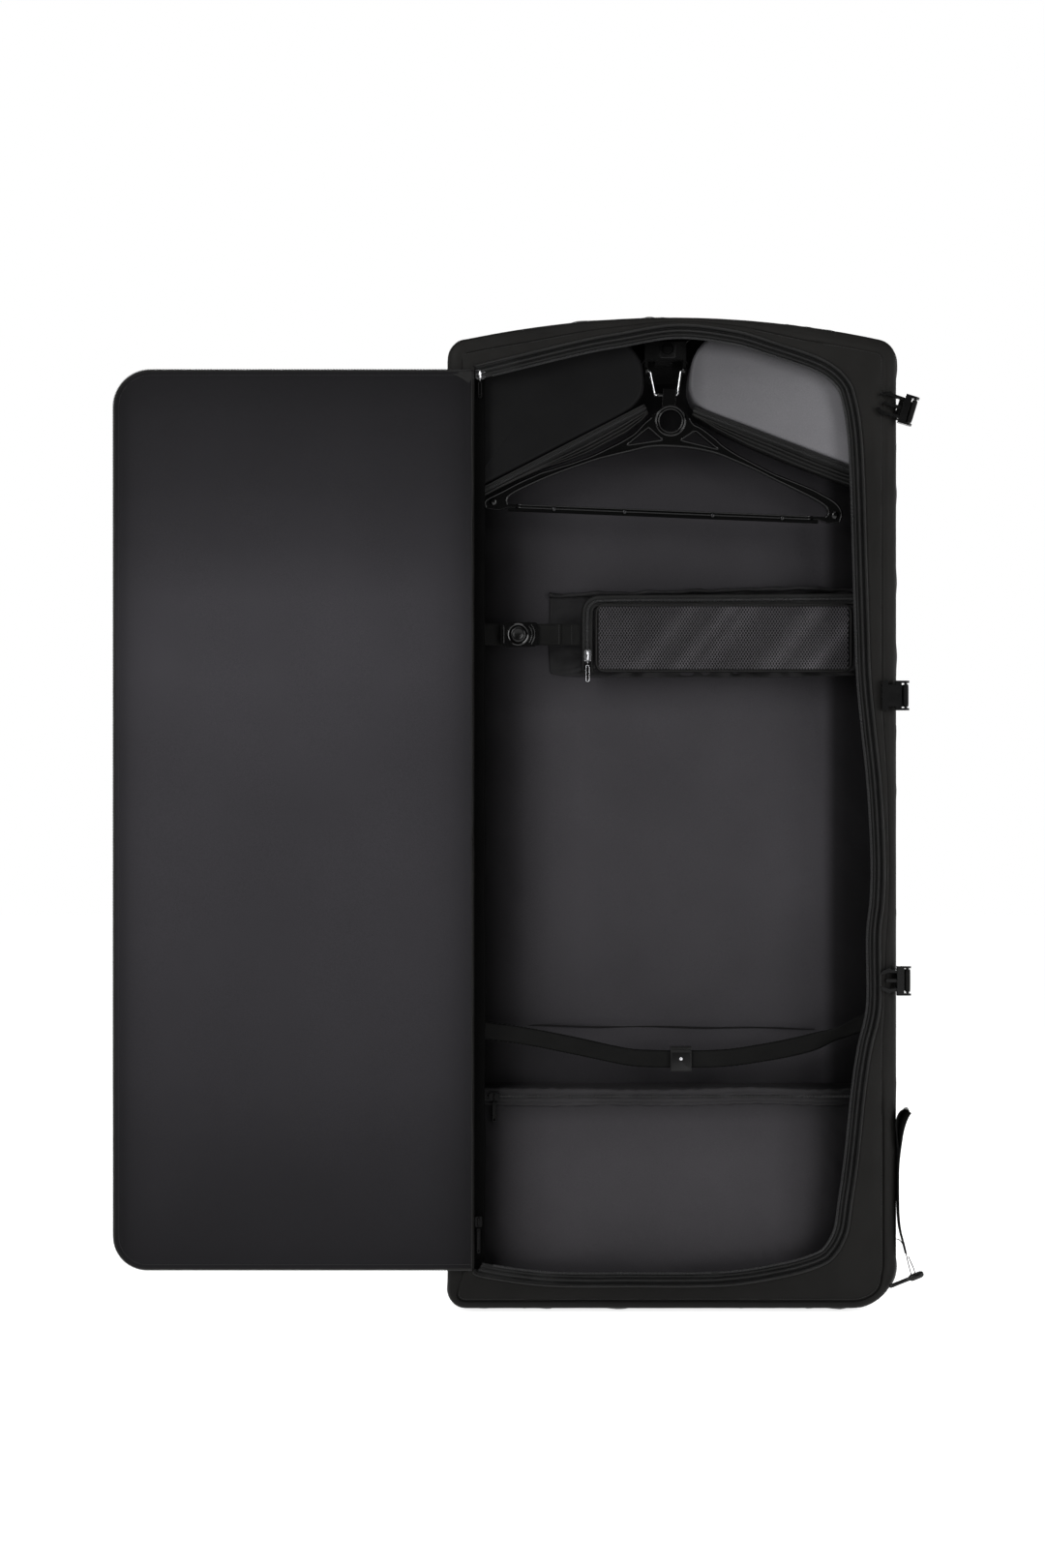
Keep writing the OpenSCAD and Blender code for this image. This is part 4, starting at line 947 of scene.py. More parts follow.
# zip bands under the slanted edges: a tape with four ridges
for nm, A, B, C in (("left", (-31, -60), (-212, -153), (-246, -170)), ("right", (27, -63), (199, -129), (246, -147))):
    P = at_path(np.array([A, B, C], float), step=5)
    T = tangents(P)
    Nd = np.stack([T[:, 1], -T[:, 0]], axis=1)
    if Nd[0, 1] > 0:
        Nd = -Nd
    prof = [(0.5, -66.0), (0.2, -72.6), (0.9, -73.8), (1.8, -72.8), (2.5, -72.2), (3.2, -73.4), (4.0, -73.4), (4.6, -71.8), (5.4, -71.4), (6.0, -72.6), (6.8, -72.2),
            (7.3, -70.2), (7.8, -69.6), (8.3, -70.2), (8.9, -69.0), (9.0, -64.0), (8.4, -60.0), (0.5, -60.0)]
    prof = np.array(prof)
    R = P[:, None] + Nd[:, None] * prof[None, :, 0][:, :, None]
    R = np.stack([R[:, :, 0], np.broadcast_to(prof[:, 1], R.shape[:2]), R[:, :, 1]], axis=2).copy()
    R[:, :, 1] += 0.30 * noisef(R, 81, 60, 160, 8)
    o = loft("corner_zip_" + nm, R, M_TAPE, closed=True, cap=True)
    if nm == "left":
        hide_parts("corner_pocket_zips")
    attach(o, "upper_case")
    P2 = at_path(P, step=1.5)
    T2 = tangents(P2)
    N2 = np.stack([T2[:, 1], -T2[:, 0]], axis=1)
    if N2[0, 1] > 0:
        N2 = -N2
    o = beads("corner_teeth_" + nm, xz(P2 + N2 * 5.0, -72.0), xz(N2, 0), xz(T2, 0), (0, -1, 0), 1.0, 0.45, 0.6, M_COIL)
    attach(o, "upper_case")
    # the gusset of cloth below the zip, back to the lining
    rows = []
    for k, (off_, y) in enumerate(((8.4, -68.5), (9.2, -68.9), (10.4, -70.2), (11.6, -69.4), (12.2, -67.0), (13.0, -66.6), (14.2, -68.0), (15.4, -67.2), (16.2, -64.6), (17.0, -64.2), (18.2, -65.2), (19.4, -64.0),
                                   (20.0, -60), (19.4, -52), (18.4, -40), (17, -28), (14, -18), (10, -12.4))):
        if nm == "left":
            fan = np.interp(np.linspace(0, 1, len(P)), [0, 0.042, 0.126, 0.33, 0.433, 0.535, 0.688, 0.786, 1], [0.25, 0.6, 0.95, 0.88, 0.6, 0.22, 0.10, 0.05, 0.05])
        else:
            fan = np.interp(np.linspace(0, 1, len(P)), [0, 0.05, 0.12, 0.3, 0.5, 1], [0.02, 0.12, 0.45, 0.9, 1, 1])
        rows.append(xz(P + Nd * (8.4 + (off_ - 8.4) * fan[:, None]), y))
    Rg = np.array(rows)
    Rg[1:-1, :, 2] += 0.8 * noisef(Rg[1:-1], 83, 70, 190, 10)
    Rg[1:-1, :, 1] += 0.4 * noisef(Rg[1:-1], 84, 60, 150, 10)
    o = loft("corner_gusset_" + nm, Rg, M_TAPE, closed=False)
    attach(o, "upper_case")
    for k, row in enumerate((Rg[2], Rg[6], Rg[10])):
        o = tube(f"corner_welt_{nm}_{k}", at_path(row, step=4) + np.array([0, -0.2, 0]), 0.75, M_PIPING, n=8)
        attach(o, "upper_case")


# ------------------------------------------------------------------ CAD nodes that stay: rounded edges and a finish
def dress(node, mat_, bevel=0.5, seg=2, angle=35):
    o = NODES[node]
    o.data.materials.clear()
    o.data.materials.append(mat_)
    w = o.modifiers.new("weld", "WELD")
    w.merge_threshold = 2e-5
    if bevel:
        b = o.modifiers.new("bevel", "BEVEL")
        b.width = bevel * MM
        b.segments = seg
        b.limit_method = "ANGLE"
        b.angle_limit = math.radians(angle)
        b.use_clamp_overlap = True
        b.harden_normals = False
    o.data.polygons.foreach_set("use_smooth", [True] * len(o.data.polygons))
    s = o.modifiers.new("weighted", "WEIGHTED_NORMAL")
    s.keep_sharp = False
    s.weight = 80
    return o


dress("hang_ring", M_STEEL, 0.9, 3)
dress("hanger_bracket", M_PLASTIC, 0.7)
dress("bracket_button", M_GLOSS, 0.7, 3)
dress("hanger_frame", M_GLOSS, 0.7, 2)
dress("trouser_bar", M_BAR, 0.6)
dress("hanger_rivets", M_DARKMETAL, 0.25)
dress("pouch_buckle", M_GLOSS, 0.8, 3)
dress("side_buckle_top", M_PLASTIC, 0.5)
dress("side_buckle_mid", M_PLASTIC, 0.5)
dress("side_buckle_low", M_PLASTIC, 0.5)
dress("garment_strap_clip", M_PLASTIC, 0.5)
dress("main_slider_top", M_CHROME, 0.6, 3)
dress("main_puller_top", M_BLACKMETAL, 0.35)
dress("main_slider_bottom", M_BLACKMETAL, 0.6, 3)
dress("main_puller_bottom", M_BLACKMETAL, 0.35)
dress("shoe_slider", M_BLACKMETAL, 0.6, 3)
dress("shoe_puller", M_BLACKMETAL, 0.35)
dress("pouch_slider", M_CAST, 0.6, 3)
dress("pouch_puller", M_BLACKMETAL, 0.35)

# ------------------------------------------------------------------ the bail: one bent wire
W = [[-28.6, -52, -20], [-25.5, -52, -20], [-24.0, -52, -20.4], [-23.2, -52, -21.6], [-22.7, -52, -24], [-18.6, -52, -43.6], [-18.1, -52, -45.6], [-16.9, -52, -46.8], [-15, -52, -47],
     [-5, -52, -47], [5, -52, -47], [6.9, -52, -46.8], [8.1, -52, -45.6], [8.5, -52, -43.6], [11.4, -52, -24], [11.8, -52, -21.6], [12.5, -52, -20.4], [14, -52, -20], [17.2, -52, -20]]
o = tube("bail_wire", catmull(np.array(W, float), 4), 1.5, M_CHROME, n=14, up=(0.02, -1, 0.03))
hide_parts("hanger_bail"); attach(o, "bail")

# ------------------------------------------------------------------ hanger: raised rims on both faces
HC = np.array([0.0, -77.0])
TILT = -2.3


def hang(P, s=1.0):
    return turn(np.asarray(P, float), TILT) + HC


ARM_R = [[12, 12], [17.5, 9], [22, 4.5], [27, -2.5], [34, -5.5], [41.5, -10.2], [53, -18.6], [60.5, -25], [75, -33.7],
         [86.5, -39.3], [98, -44.8], [120, -54.9], [142.5, -62.8], [164.5, -70.8], [176, -76.4], [187, -82], [195, -88.5], [199, -96],
         [199, -102], [197, -107.5], [183, -109], [172, -105.5], [172, -102.5], [179, -101.5], [182.5, -98], [181, -92.5], [175.5, -87.5],
         [160.5, -79.6], [143, -71.8], [120.5, -62], [98, -51.8], [75.5, -43], [53.5, -35.3], [31, -31.2], [14, -29.8], [0, -29.5]]
ARM_L = [[-12, 12], [-17, 8.5], [-22, 4], [-27, -0.5], [-31, -4.2], [-40, -14.6], [-46.5, -19.5], [-57, -26.3], [-68, -32.3],
         [-78.5, -38], [-89.5, -43.5], [-100.5, -47.9], [-111, -52.2], [-122, -56], [-133, -60.2], [-143.5, -63.6], [-154.5, -69], [-165, -74],
         [-176, -80], [-187, -86.6], [-197, -92], [-206, -97.5], [-208, -102], [-206, -107.5], [-191, -109], [-180, -105.5], [-180, -102],
         [-181.5, -98], [-179.5, -93.5], [-174.5, -89.2], [-164.5, -83.4], [-143, -72.6], [-121.5, -63], [-100, -54.4], [-78, -46.2],
         [-45.5, -37], [-28, -32], [-14, -29.9]]


def inset(P, d):
    """A smooth line d inside an outline that runs clockwise."""
    Q = catmull(np.asarray(P, float), 5)
    T = np.gradient(Q, axis=0)
    T /= np.linalg.norm(T, axis=1, keepdims=True) + 1e-9
    return Q + d * np.stack([T[:, 1], -T[:, 0]], axis=1)


HY0, HY1 = -57.0, -47.0
top_r = inset(ARM_R[2:20], 1.3)
top_l = inset(ARM_L[2:24][::-1], 1.3)
arch = inset(ARM_R[23:] + ARM_L[26:][::-1], 1.3)
WIN_R = np.array([[29, -11], [55, -30], [13, -21.5]], float)
WIN_L = np.array([[-25, -9.5], [-48, -29.3], [-9, -22]], float)


def grow(P, d):
    c = P.mean(0)
    e = []
    n = len(P)
    for i in range(n):
        a, b, q = P[i - 1], P[i], P[(i + 1) % n]
        e.append(b + unit(b - c) * d * 1.35)
    return np.array(e)


def tri_loop(tri):
    P = grow(tri, 1.4)
    Q = []
    for i in range(3):
        a, b, c = P[i - 1], P[i], P[(i + 1) % 3]
        p0, p1 = b + unit(a - b) * 3.0, b + unit(c - b) * 3.0
        for t in np.linspace(0, 1, 5):
            Q.append((1 - t) ** 2 * p0 + 2 * t * (1 - t) * b + t * t * p1)
    return np.array(Q)


for face, y in (("front", HY0), ("rear", HY1)):
    for nm, P, closed in (("arm_right", top_r, False), ("arm_left", top_l, False), ("arch", arch, False), ("window_right", tri_loop(WIN_R), True), ("window_left", tri_loop(WIN_L), True)):
        Q = at_path(hang(P), step=2.5, closed=closed)
        o = tube(f"hanger_rim_{nm}_{face}", xz(Q, y), 1.05, M_GLOSS, n=8, closed=closed)
        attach(o, "hanger")
    c = hang([[0, 0]])[0]
    a = np.linspace(0, 2 * np.pi, 48, endpoint=False)
    for rr, rad in ((16.6, 1.5), (13.4, 1.0)):
        o = tube(f"hanger_eye_rim_{int(rr)}_{face}", np.stack([c[0] + rr * np.cos(a), np.full(48, y), c[1] + rr * np.sin(a)], axis=1), rad, M_GLOSS, n=8, closed=True)
        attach(o, "hanger")
sx = np.array([-15.2, -14.6, -13.5, 5.0, 6.0, 6.6])
o = tube("hanger_neck_sleeve", [[x, -52, -47] for x in sx], np.array([1.9, 2.6, 3.0, 3.0, 2.6, 1.9]), M_GLOSS, n=20, up=(0.01, -1, 0.02))
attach(o, "hanger")
# thin lips along the bar that carries the trouser grip
for k, (v0) in enumerate((-102.2, -105.3)):
    P = hang([[x, v0] for x in np.linspace(-172, 166, 40)])
    o = tube(f"hanger_bar_lip_{k}", xz(P, HY0), 0.75, M_GLOSS, n=8)
    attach(o, "hanger")
for k, x in enumerate((-128, -48, 52, 131)):
    c = hang([[x, -105.5]])[0]
    o = lathe(f"hanger_rivet_head_{k}", c, [(0.2, -59.0), (1.6, -58.8), (2.4, -58.2), (2.6, -57.4), (2.6, -57.0)], M_DARKMETAL, n=20)
    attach(o, "hanger")
# tips: rounded end caps with a small curl
for s, nm in ((1, "right"), (-1.045, "left")):
    c = hang([[191 if s > 0 else -197.5, -99.5]])[0]
    o = lathe(f"hanger_tip_boss_{nm}", c, [(1.0, -58.6), (3.0, -58.4), (4.2, -57.6), (4.6, -56.6)], M_GLOSS, n=28)
    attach(o, "hanger")

# ------------------------------------------------------------------ bracket details
for s, x in (("left", -27.6), ("right", 15.7)):
    o = lathe(f"bracket_boss_{s}", (x, -20), [(0.4, -59.4), (2.2, -59.2), (3.0, -58.4), (3.0, -57.6)], M_PLASTIC, n=24)
    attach(o, "upper_case")
o = plate("bracket_escutcheon", rounded(-12.6, 5.4, -6.6, 11.2, 2.5), -61.0, -59.8, M_PLASTIC, bevel=0.45)
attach(o, "upper_case")
o = lathe("bracket_button_ring", (-3.6, 4), [(5.3, -60.6), (5.5, -61.3), (6.2, -61.5), (6.8, -61.1), (6.8, -60.6)], M_BAR, n=36, ring=True)
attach(o, "upper_case")
for k, (a, b) in enumerate((((-27, 10), (-38, 19)), ((-27, -6), (-33, -13)), ((15, 10), (27, 20)), ((15, -6), (20, -12)))):
    P = np.linspace(a, b, 6)
    o = tube(f"bracket_web_{k}", xz(P, -50), np.linspace(2.4, 1.6, 6), M_PLASTIC, n=10, sy=2.2)
    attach(o, "upper_case")

# ------------------------------------------------------------------ mesh pouch
flap_o = [[-137, -273], [-110, -271.5], [-60, -272.5], [0, -268.5], [60, -266.5], [120, -265.5], [180, -265.5], [215, -267], [217, -300], [216, -340], [215, -364], [150, -366], [60, -367], [-60, -366.5], [-120, -365], [-136, -362], [-138.5, -330], [-136.5, -300]]
o = pillow("pouch_flap_cloth", flap_o, -11.8, -14.2, 1.1, 0.8, M_POUCH, rings=14, seed=91, wr=1.9, wl=(16, 44), step=3.0)
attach(o, "upper_case")
body_o = rounded(-84.5, 215.5, -361, -285, 9)
o = pillow("pouch_soft", body_o, -14.0, -48.6, 4.0, 0.6, M_POUCH, rings=12, seed=93, wr=0.5, wl=(14, 40), step=3.0)
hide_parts("pouch_body"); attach(o, "upper_case")


def pouch_face(x, z):
    """Front of the mesh: slightly slack, with slanted folds."""
    x, z = np.asarray(x, float), np.asarray(z, float)
    d = np.minimum(np.minimum(x + 84, 205 - x), np.minimum(-286 - z, z + 360))
    u = x * 0.72 - z * 0.69
    f = 2.0 * np.sin(u / 15.0 + 0.6 * np.sin(z / 17.0)) * smoothstep(-70, 60, x) + 1.0 * np.sin(u / 8.0 + 1.0) * smoothstep(90, 200, x)
    P = np.stack([x, 0 * x, z], axis=-1)
    return -50.6 - (2.0 + 0.8 * f + 0.3 * noisef(P, 95, 20, 60, 8)) * smoothstep(0, 14, d)


# cloth behind the net
nx, nz = 90, 30
gx, gz = np.meshgrid(np.linspace(-82, 203, nx), np.linspace(-358.5, -287.5, nz), indexing="ij")
gy = pouch_face(gx, gz) + 0.55
o = make("pouch_backing", np.stack([gx, gy, gz], axis=-1).reshape(-1, 3), grid_faces(nx, nz), M_NETBACK)
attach(o, "upper_case")


def net(name, x0, x1, z0, z1, pitch, r, mat_):
    """Two crossing families of thin cords, as one mesh of four-sided tubes."""
    V, F = [], []
    h = z1 - z0
    slope = 0.62
    for sgn in (1, -1):
        run = h * slope
        start = x0 - run if sgn > 0 else x0
        stop = x1 if sgn > 0 else x1 + run
        for k in range(int((stop - start) / pitch) + 1):
            xa = start + k * pitch
            n = 26
            zz = np.linspace(z0, z1, n)
            xx = xa + sgn * (zz - z0) * slope
            ok = (xx >= x0) & (xx <= x1)
            if ok.sum() < 2:
                continue
            xx, zz = xx[ok], zz[ok]
            yy = pouch_face(xx, zz) - 0.05 - (0.12 if sgn > 0 else 0.0)
            off = len(V) * 4
            nn = len(xx)
            b = sum(len(v) for v in V)
            P = np.stack([xx, yy, zz], axis=1)
            ring = np.stack([P + (r, 0, 0), P + (0, -r * 0.8, 0), P + (-r, 0, 0), P + (0, r * 0.8, 0)], axis=1)
            V.append(ring.reshape(-1, 3))
            F += grid_faces(nn, 4, cv=True, off=b)
    return make(name, np.vstack(V), F, mat_, fix=False)


o = net("pouch_net", -82, 203, -358.5, -287.5, 3.3, 0.50, M_NET)
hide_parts("pouch_mesh"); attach(o, "upper_case")
# piping round the net and the L-shaped zip
P = at_path(rounded(-84, 205.5, -360.5, -285.5, 9), step=2.5, closed=True)
o = tube("pouch_piping", xz(P, -50.6), 1.35, M_BINDING, n=8, closed=True)
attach(o, "upper_case")
zp = at_path(catmull(np.array([[-94, -362], [-94, -330], [-94, -300], [-92.5, -288], [-86, -281.8], [-74, -280.5], [-20, -280], [60, -279.5], [140, -279], [216, -278.6]], float), 6), step=2.5)
T = tangents(zp)
Nn = np.stack([T[:, 1], -T[:, 0]], axis=1)
prof = np.array([(-7.0, -40), (-6.6, -45.4), (-5.6, -47.0), (-4.2, -47.2), (-3.2, -46.2), (-1.6, -46.2), (0, -46.4), (1.6, -46.2), (3.2, -46.2), (4.2, -47.4), (5.6, -47.6), (6.6, -46.4), (7.0, -40)])
R = zp[:, None] + Nn[:, None] * prof[None, :, 0][:, :, None]
R = np.stack([R[:, :, 0], np.broadcast_to(prof[:, 1], R.shape[:2]), R[:, :, 1]], axis=2).copy()
R[:, :, 1] += 0.3 * noisef(R, 97, 16, 40, 8)
o = loft("pouch_zip_tape", R, M_TAPE, closed=True, cap=True)
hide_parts("pouch_zip"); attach(o, "upper_case")
q = at_path(zp, step=1.4)
T = tangents(q)
Nn = np.stack([T[:, 1], -T[:, 0]], axis=1)
o = beads("pouch_zip_teeth", xz(q, -46.7), xz(Nn, 0), xz(T, 0), (0, -1, 0), 1.8, 0.45, 0.7, M_COIL)
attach(o, "upper_case")
# a lumpy roll of cloth along the top of the flap
P = at_path(catmull(np.array([[-137, -273, -15], [-90, -271, -17], [-30, -270, -20], [40, -267.5, -24], [110, -266, -26], [170, -266, -25], [214, -268, -22]], float)[:, [0, 2, 1]], 6), step=3)
P = P + np.stack([0 * P[:, 0], 0.8 * noisef(P, 98, 14, 34, 8), 0.6 * noisef(P, 99, 14, 34, 8)], axis=1)
o = tube("pouch_top_roll", P, 2.6 + 0.5 * noisef(P, 100, 12, 30, 6), M_POUCH, n=10)
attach(o, "upper_case")

# strap, buckle and button
P = [[x, -45.3 + 0.5 * math.sin((x + 248) / 16.0), -319 + 0.8 * math.sin(x / 21.0)] for x in np.linspace(-247.5, -190, 24)]
o = ribbon("pouch_strap_left", P, (0, 0, 1), 24.6, 1.4, M_WEB)
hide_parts("pouch_strap"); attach(o, "upper_case")
P = [[x, -45.3 - 0.4 * math.sin((x + 150) / 12.0), -319] for x in np.linspace(-153, -102.5, 22)]
o = ribbon("pouch_strap_right", P, (0, 0, 1), 24.6, 1.4, M_WEB)
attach(o, "upper_case")
P = [[x, -46.9 - 0.3 * math.sin((x + 150) / 9.0), -319] for x in np.linspace(-151, -124, 14)]
o = ribbon("pouch_strap_tail", P, (0, 0, 1), 24.0, 1.3, M_WEB)
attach(o, "upper_case")
for k, x in enumerate((-126.5, -112)):
    o = stitch(f"pouch_strap_stitches_{k}", [[x, -47.9 if k == 0 else -46.5, z] for z in np.linspace(-329, -309, 12)], (0, -1, 0), 2.4, 1.8, 0.25, M_THREAD)
    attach(o, "upper_case")
bc = (-173, -319)
o = lathe("pouch_button_dome", bc, [(0.3, -52.6), (4.6, -52.7), (5.6, -53.2), (6.6, -53.4), (8.0, -53.0), (9.2, -51.9), (9.8, -50.4), (9.8, -47.2)], M_PLASTIC, n=48)
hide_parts("pouch_buckle_button"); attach(o, "pouch_buckle_button")
o = lathe("pouch_button_collar", bc, [(10.4, -50.8), (10.6, -52.2), (11.6, -52.6), (12.6, -52.0), (12.9, -50.8)], M_GLOSS, n=48, ring=True)
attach(o, "upper_case")
for k, r in enumerate((15.6, 18.6)):
    a = np.radians(np.linspace(-38, 38, 18))
    P = np.stack([bc[0] + r * np.cos(a), np.full(18, -51.2), bc[1] + r * np.sin(a)], axis=1)
    o = tube(f"pouch_buckle_rib_{k}", P, 0.8, M_GLOSS, n=8)
    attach(o, "upper_case")
o = tube("pouch_buckle_bar", [[-189.4, -51.2, z] for z in np.linspace(-329, -309, 8)], 0.9, M_GLOSS, n=8)
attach(o, "upper_case")


# ------------------------------------------------------------------ sliders: bridges, rings and pull frames
def slider_bits(name, body, pbody, x, z0, z1, y, mat_, ring_z, ring_y, pz1):
    P = catmull(np.array([[x, y + 0.6, z1 - 1.5], [x, y - 1.2, z1 - 2.2], [x, y - 1.7, (z0 + z1) / 2], [x, y - 1.2, z0 + 2.2], [x, y + 0.6, z0 + 1.5]], float), 5)
    o = tube(name + "_bridge", P, 0.75, mat_, n=8, up=(1, 0, 0.01), sy=1.6)
    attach(o, body)
    a = np.linspace(0, 2 * np.pi, 24, endpoint=False)
    P = np.stack([np.full(24, float(x)), ring_y + 1.0 * np.cos(a), ring_z + 1.0 * np.sin(a)], axis=1)
    o2 = tube(name + "_ring", P, 0.42, mat_, n=8, closed=True, up=(1, 0, 0))
    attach(o2, pbody)
    return o, o2


for nm, body, pbody, x, z0, z1, y, m, rz, ry in (
        ("main_slider_top", "main_slider_top", "main_puller_top", -215.6, -35.0, -24.2, -90.9, M_CHROME, -36.0, -91.3),
        ("pouch_slider", "pouch_slider", "pouch_puller", -94, -349.5, -336.5, -50.6, M_CAST, -350.8, -50.9),
        ("shoe_slider", "shoe_slider", "shoe_puller", -200, -847, -839, -62.4, M_BLACKMETAL, -848.2, -62.4),
        ("main_slider_bottom", "main_slider_bottom", "main_puller_bottom", -217.3, -986, -974, -90.9, M_BLACKMETAL, -987.0, -91.2)):
    a, b = slider_bits(nm, body, pbody, x, z0, z1, y, m, rz, ry, 0)
    s = {"main_slider_top": "slider_metal", "pouch_slider": "slider_metal"}.get(nm, "dark_metal")
for nm, pbody, x, za, zb, w, y, m, s in (("main_puller_top", "main_puller_top", -215.6, -38.6, -54.6, 3.4, -91.1, M_BLACKMETAL, "slider_metal"),
                                        ("pouch_puller", "pouch_puller", -94, -354, -372.6, 3.6, -50.9, M_CAST, "slider_metal"),
                                        ("shoe_puller", "shoe_puller", -200, -851, -870.6, 3.6, -62.3, M_BLACKMETAL, "dark_metal"),
                                        ("main_puller_bottom", "main_puller_bottom", -217.3, -990, -1014, 3.2, -91.1, M_BLACKMETAL, "dark_metal")):
    P = at_path(rounded(x - w / 2, x + w / 2, zb, za, w / 2 - 0.05), step=0.8, closed=True)
    o = tube(nm + "_frame", xz(P, y), 0.45, m, n=6, closed=True)
    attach(o, pbody)

# ------------------------------------------------------------------ garment strap with its clip
top_e = catmull(np.array([[-248.5, -756], [-180, -763], [-110, -776], [-60, -787], [-27, -791], [52, -791], [100, -785], [150, -775], [188, -763], [214, -752], [248.5, -741]], float), 5)
bot_e = catmull(np.array([[-248.5, -776], [-180, -783], [-112, -796], [-60, -807], [-27, -811], [52, -811], [104, -805], [155, -795], [191, -783], [218, -771], [248.5, -761]], float), 5)
top_e, bot_e = at_path(top_e, n=90), at_path(bot_e, n=90)
K = 9
R = []
for i in range(90):
    a, b = top_e[i], bot_e[i]
    row = []
    x = (a[0] + b[0]) / 2
    tw = math.radians(26) * math.exp(-((x - 190) / 22.0) ** 2)
    belly = 1.2 * math.sin(x / 33.0)
    for u in np.linspace(-1, 1, K):
        p = (a + b) / 2 + (b - a) / 2 * u * (1 - 0.25 * math.exp(-((x - 190) / 16.0) ** 2))
        row.append((p[0], -49.3 - belly * 0.4 + 9.8 * u * math.sin(tw) - 0.45 * (1 - u ** 8), p[1]))
    for u in np.linspace(1, -1, K):
        p = (a + b) / 2 + (b - a) / 2 * u * (1 - 0.25 * math.exp(-((x - 190) / 16.0) ** 2))
        row.append((p[0], -49.3 - belly * 0.4 + 9.8 * u * math.sin(tw) + 0.45 * (1 - u ** 8), p[1]))
    R.append(row)
strap = loft("garment_strap_web", np.array(R), M_WEB, closed=True, cap=True)
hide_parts("garment_strap")
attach(strap, "lower_case")
o = lathe("clip_snap", (12, -801), [(0.3, -54.6), (1.2, -54.5), (1.9, -54.1), (2.2, -53.5), (2.2, -53.2)], M_CAST, n=32)
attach(o, "strap_clip")
o = plate("clip_face", rounded(0.8, 23.2, -814.2, -794.0, 1.6), -54.0, -53.3, M_PLASTIC, bevel=0.3)
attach(o, "strap_clip")
for k, z in enumerate((-789.0, -791.2)):
    o = tube(f"clip_ridge_{k}", [[x, -53.5, z] for x in np.linspace(1.5, 22.5, 8)], 0.6, M_PLASTIC, n=8)
    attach(o, "strap_clip")

# ------------------------------------------------------------------ shoe pocket
xs_l, xs_r = -247.8, 247.8
nx, nz = 110, 70
G = np.zeros((nx, nz, 3))
for i, x in enumerate(np.linspace(xs_l, xs_r, nx)):
    G[i, :, 0] = x
    G[i, :, 2] = -851.5 + (bot_of(x) + 0.3 + 851.5) * np.linspace(0, 1, nz)
dd = np.minimum(np.minimum(G[:, :, 0] - xs_l, xs_r - G[:, :, 0]), -851.5 - G[:, :, 2])
gath = 0.45 * np.sin(G[:, :, 0] / 4.6 + 2 * np.sin(G[:, :, 0] / 31.0)) * np.exp(-np.abs(G[:, :, 2] + 852) / 9.0)
G[:, :, 1] = -57.6 - 3.0 * smoothstep(0, 70, dd) - 0.7 * noisef(G, 111, 50, 160, 10) * smoothstep(0, 40, dd) - 0.16 * noisef(G, 112, 14, 34, 10) - gath
shoe = make("shoe_pocket_front", G.reshape(-1, 3), grid_faces(nx, nz), M_SHOE)
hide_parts("shoe_pocket"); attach(shoe, "lower_case")
# double zip over it, and the gusset back to the lining
xs = np.linspace(xs_l, xs_r, 150)
prof = np.array([(-833.0, -12.5), (-833.2, -30), (-833.4, -50), (-833.6, -57.6), (-834.6, -58.9), (-836.2, -59.2), (-837.4, -58.2), (-838.8, -58.2), (-840.0, -59.0), (-841.4, -58.6), (-843.0, -58.3), (-844.6, -58.5),
                 (-846.0, -59.2), (-847.4, -58.4), (-848.8, -58.3), (-850.0, -59.4), (-851.6, -59.6), (-852.8, -58.4), (-852.6, -56.8)])
R = np.zeros((len(xs), len(prof), 3))
R[:, :, 0] = xs[:, None]
R[:, :, 2] = prof[None, :, 0]
R[:, :, 1] = prof[None, :, 1]
mk = smoothstep(-40, -58, prof[:, 1])[None]
R[:, :, 2] += 0.9 * noisef(R, 113, 60, 160, 8) * mk + 0.35 * noisef(R, 114, 12, 26, 8) * mk
R[:, :, 1] += 0.35 * noisef(R, 115, 14, 36, 8) * mk
o = loft("shoe_zip_band", R, M_SHOEBAND, closed=False)
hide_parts("shoe_pocket_zip"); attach(o, "lower_case")
q = np.arange(xs_l + 2, xs_r - 2, 1.5)
o = beads("shoe_zip_teeth", np.stack([q, np.full(len(q), -58.9), -843 + 0 * q], axis=1), (0, 0, 1), (1, 0, 0), (0, -1, 0), 1.5, 0.46, 0.7, M_COIL)
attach(o, "lower_case")

# ------------------------------------------------------------------ side tabs and tail strap
def bent(path3, n=40):
    return at_path(catmull(np.array(path3, float), 6), n=n)


def tab_piece(name, bx, x0, zc, body, node=None, tilt=0.0):
    """Webbing that leaves the case's side, runs round the buckle's bar and comes back over itself."""
    by = -96.5
    a = np.radians(np.linspace(-80, 200, 22))
    ring = np.stack([bx + 2.55 * np.cos(a), by - 2.55 * np.sin(a)], axis=1)[::-1]
    P = [[x0, -83.7], [bx - 4, -83.7], [bx + 1.4, -84.2], [bx + 2.5, -87.5], [bx + 2.55, -92]]
    P = np.array(P + [[bx + 2.5, by + 1.0]], float)
    P2 = np.vstack([P, ring[::-1][3:]])
    P2 = at_path(P2, n=46)
    Q = np.stack([P2[:, 0], P2[:, 1], np.full(len(P2), float(zc))], axis=1)
    wd = np.array([0.0, 0.0, 1.0])
    if tilt:
        t = math.radians(tilt)
        c, s = math.cos(t), math.sin(t)
        X, Z = Q[:, 0] - bx, Q[:, 2] - zc
        Q[:, 0], Q[:, 2] = bx + X * c + Z * s, zc - X * s + Z * c
        wd = np.array([s, 0, c])
    o = ribbon(name, Q, wd, 24.6, 1.3, M_WEB)
    if node:
        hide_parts(node)
    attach(o, body)
    return o


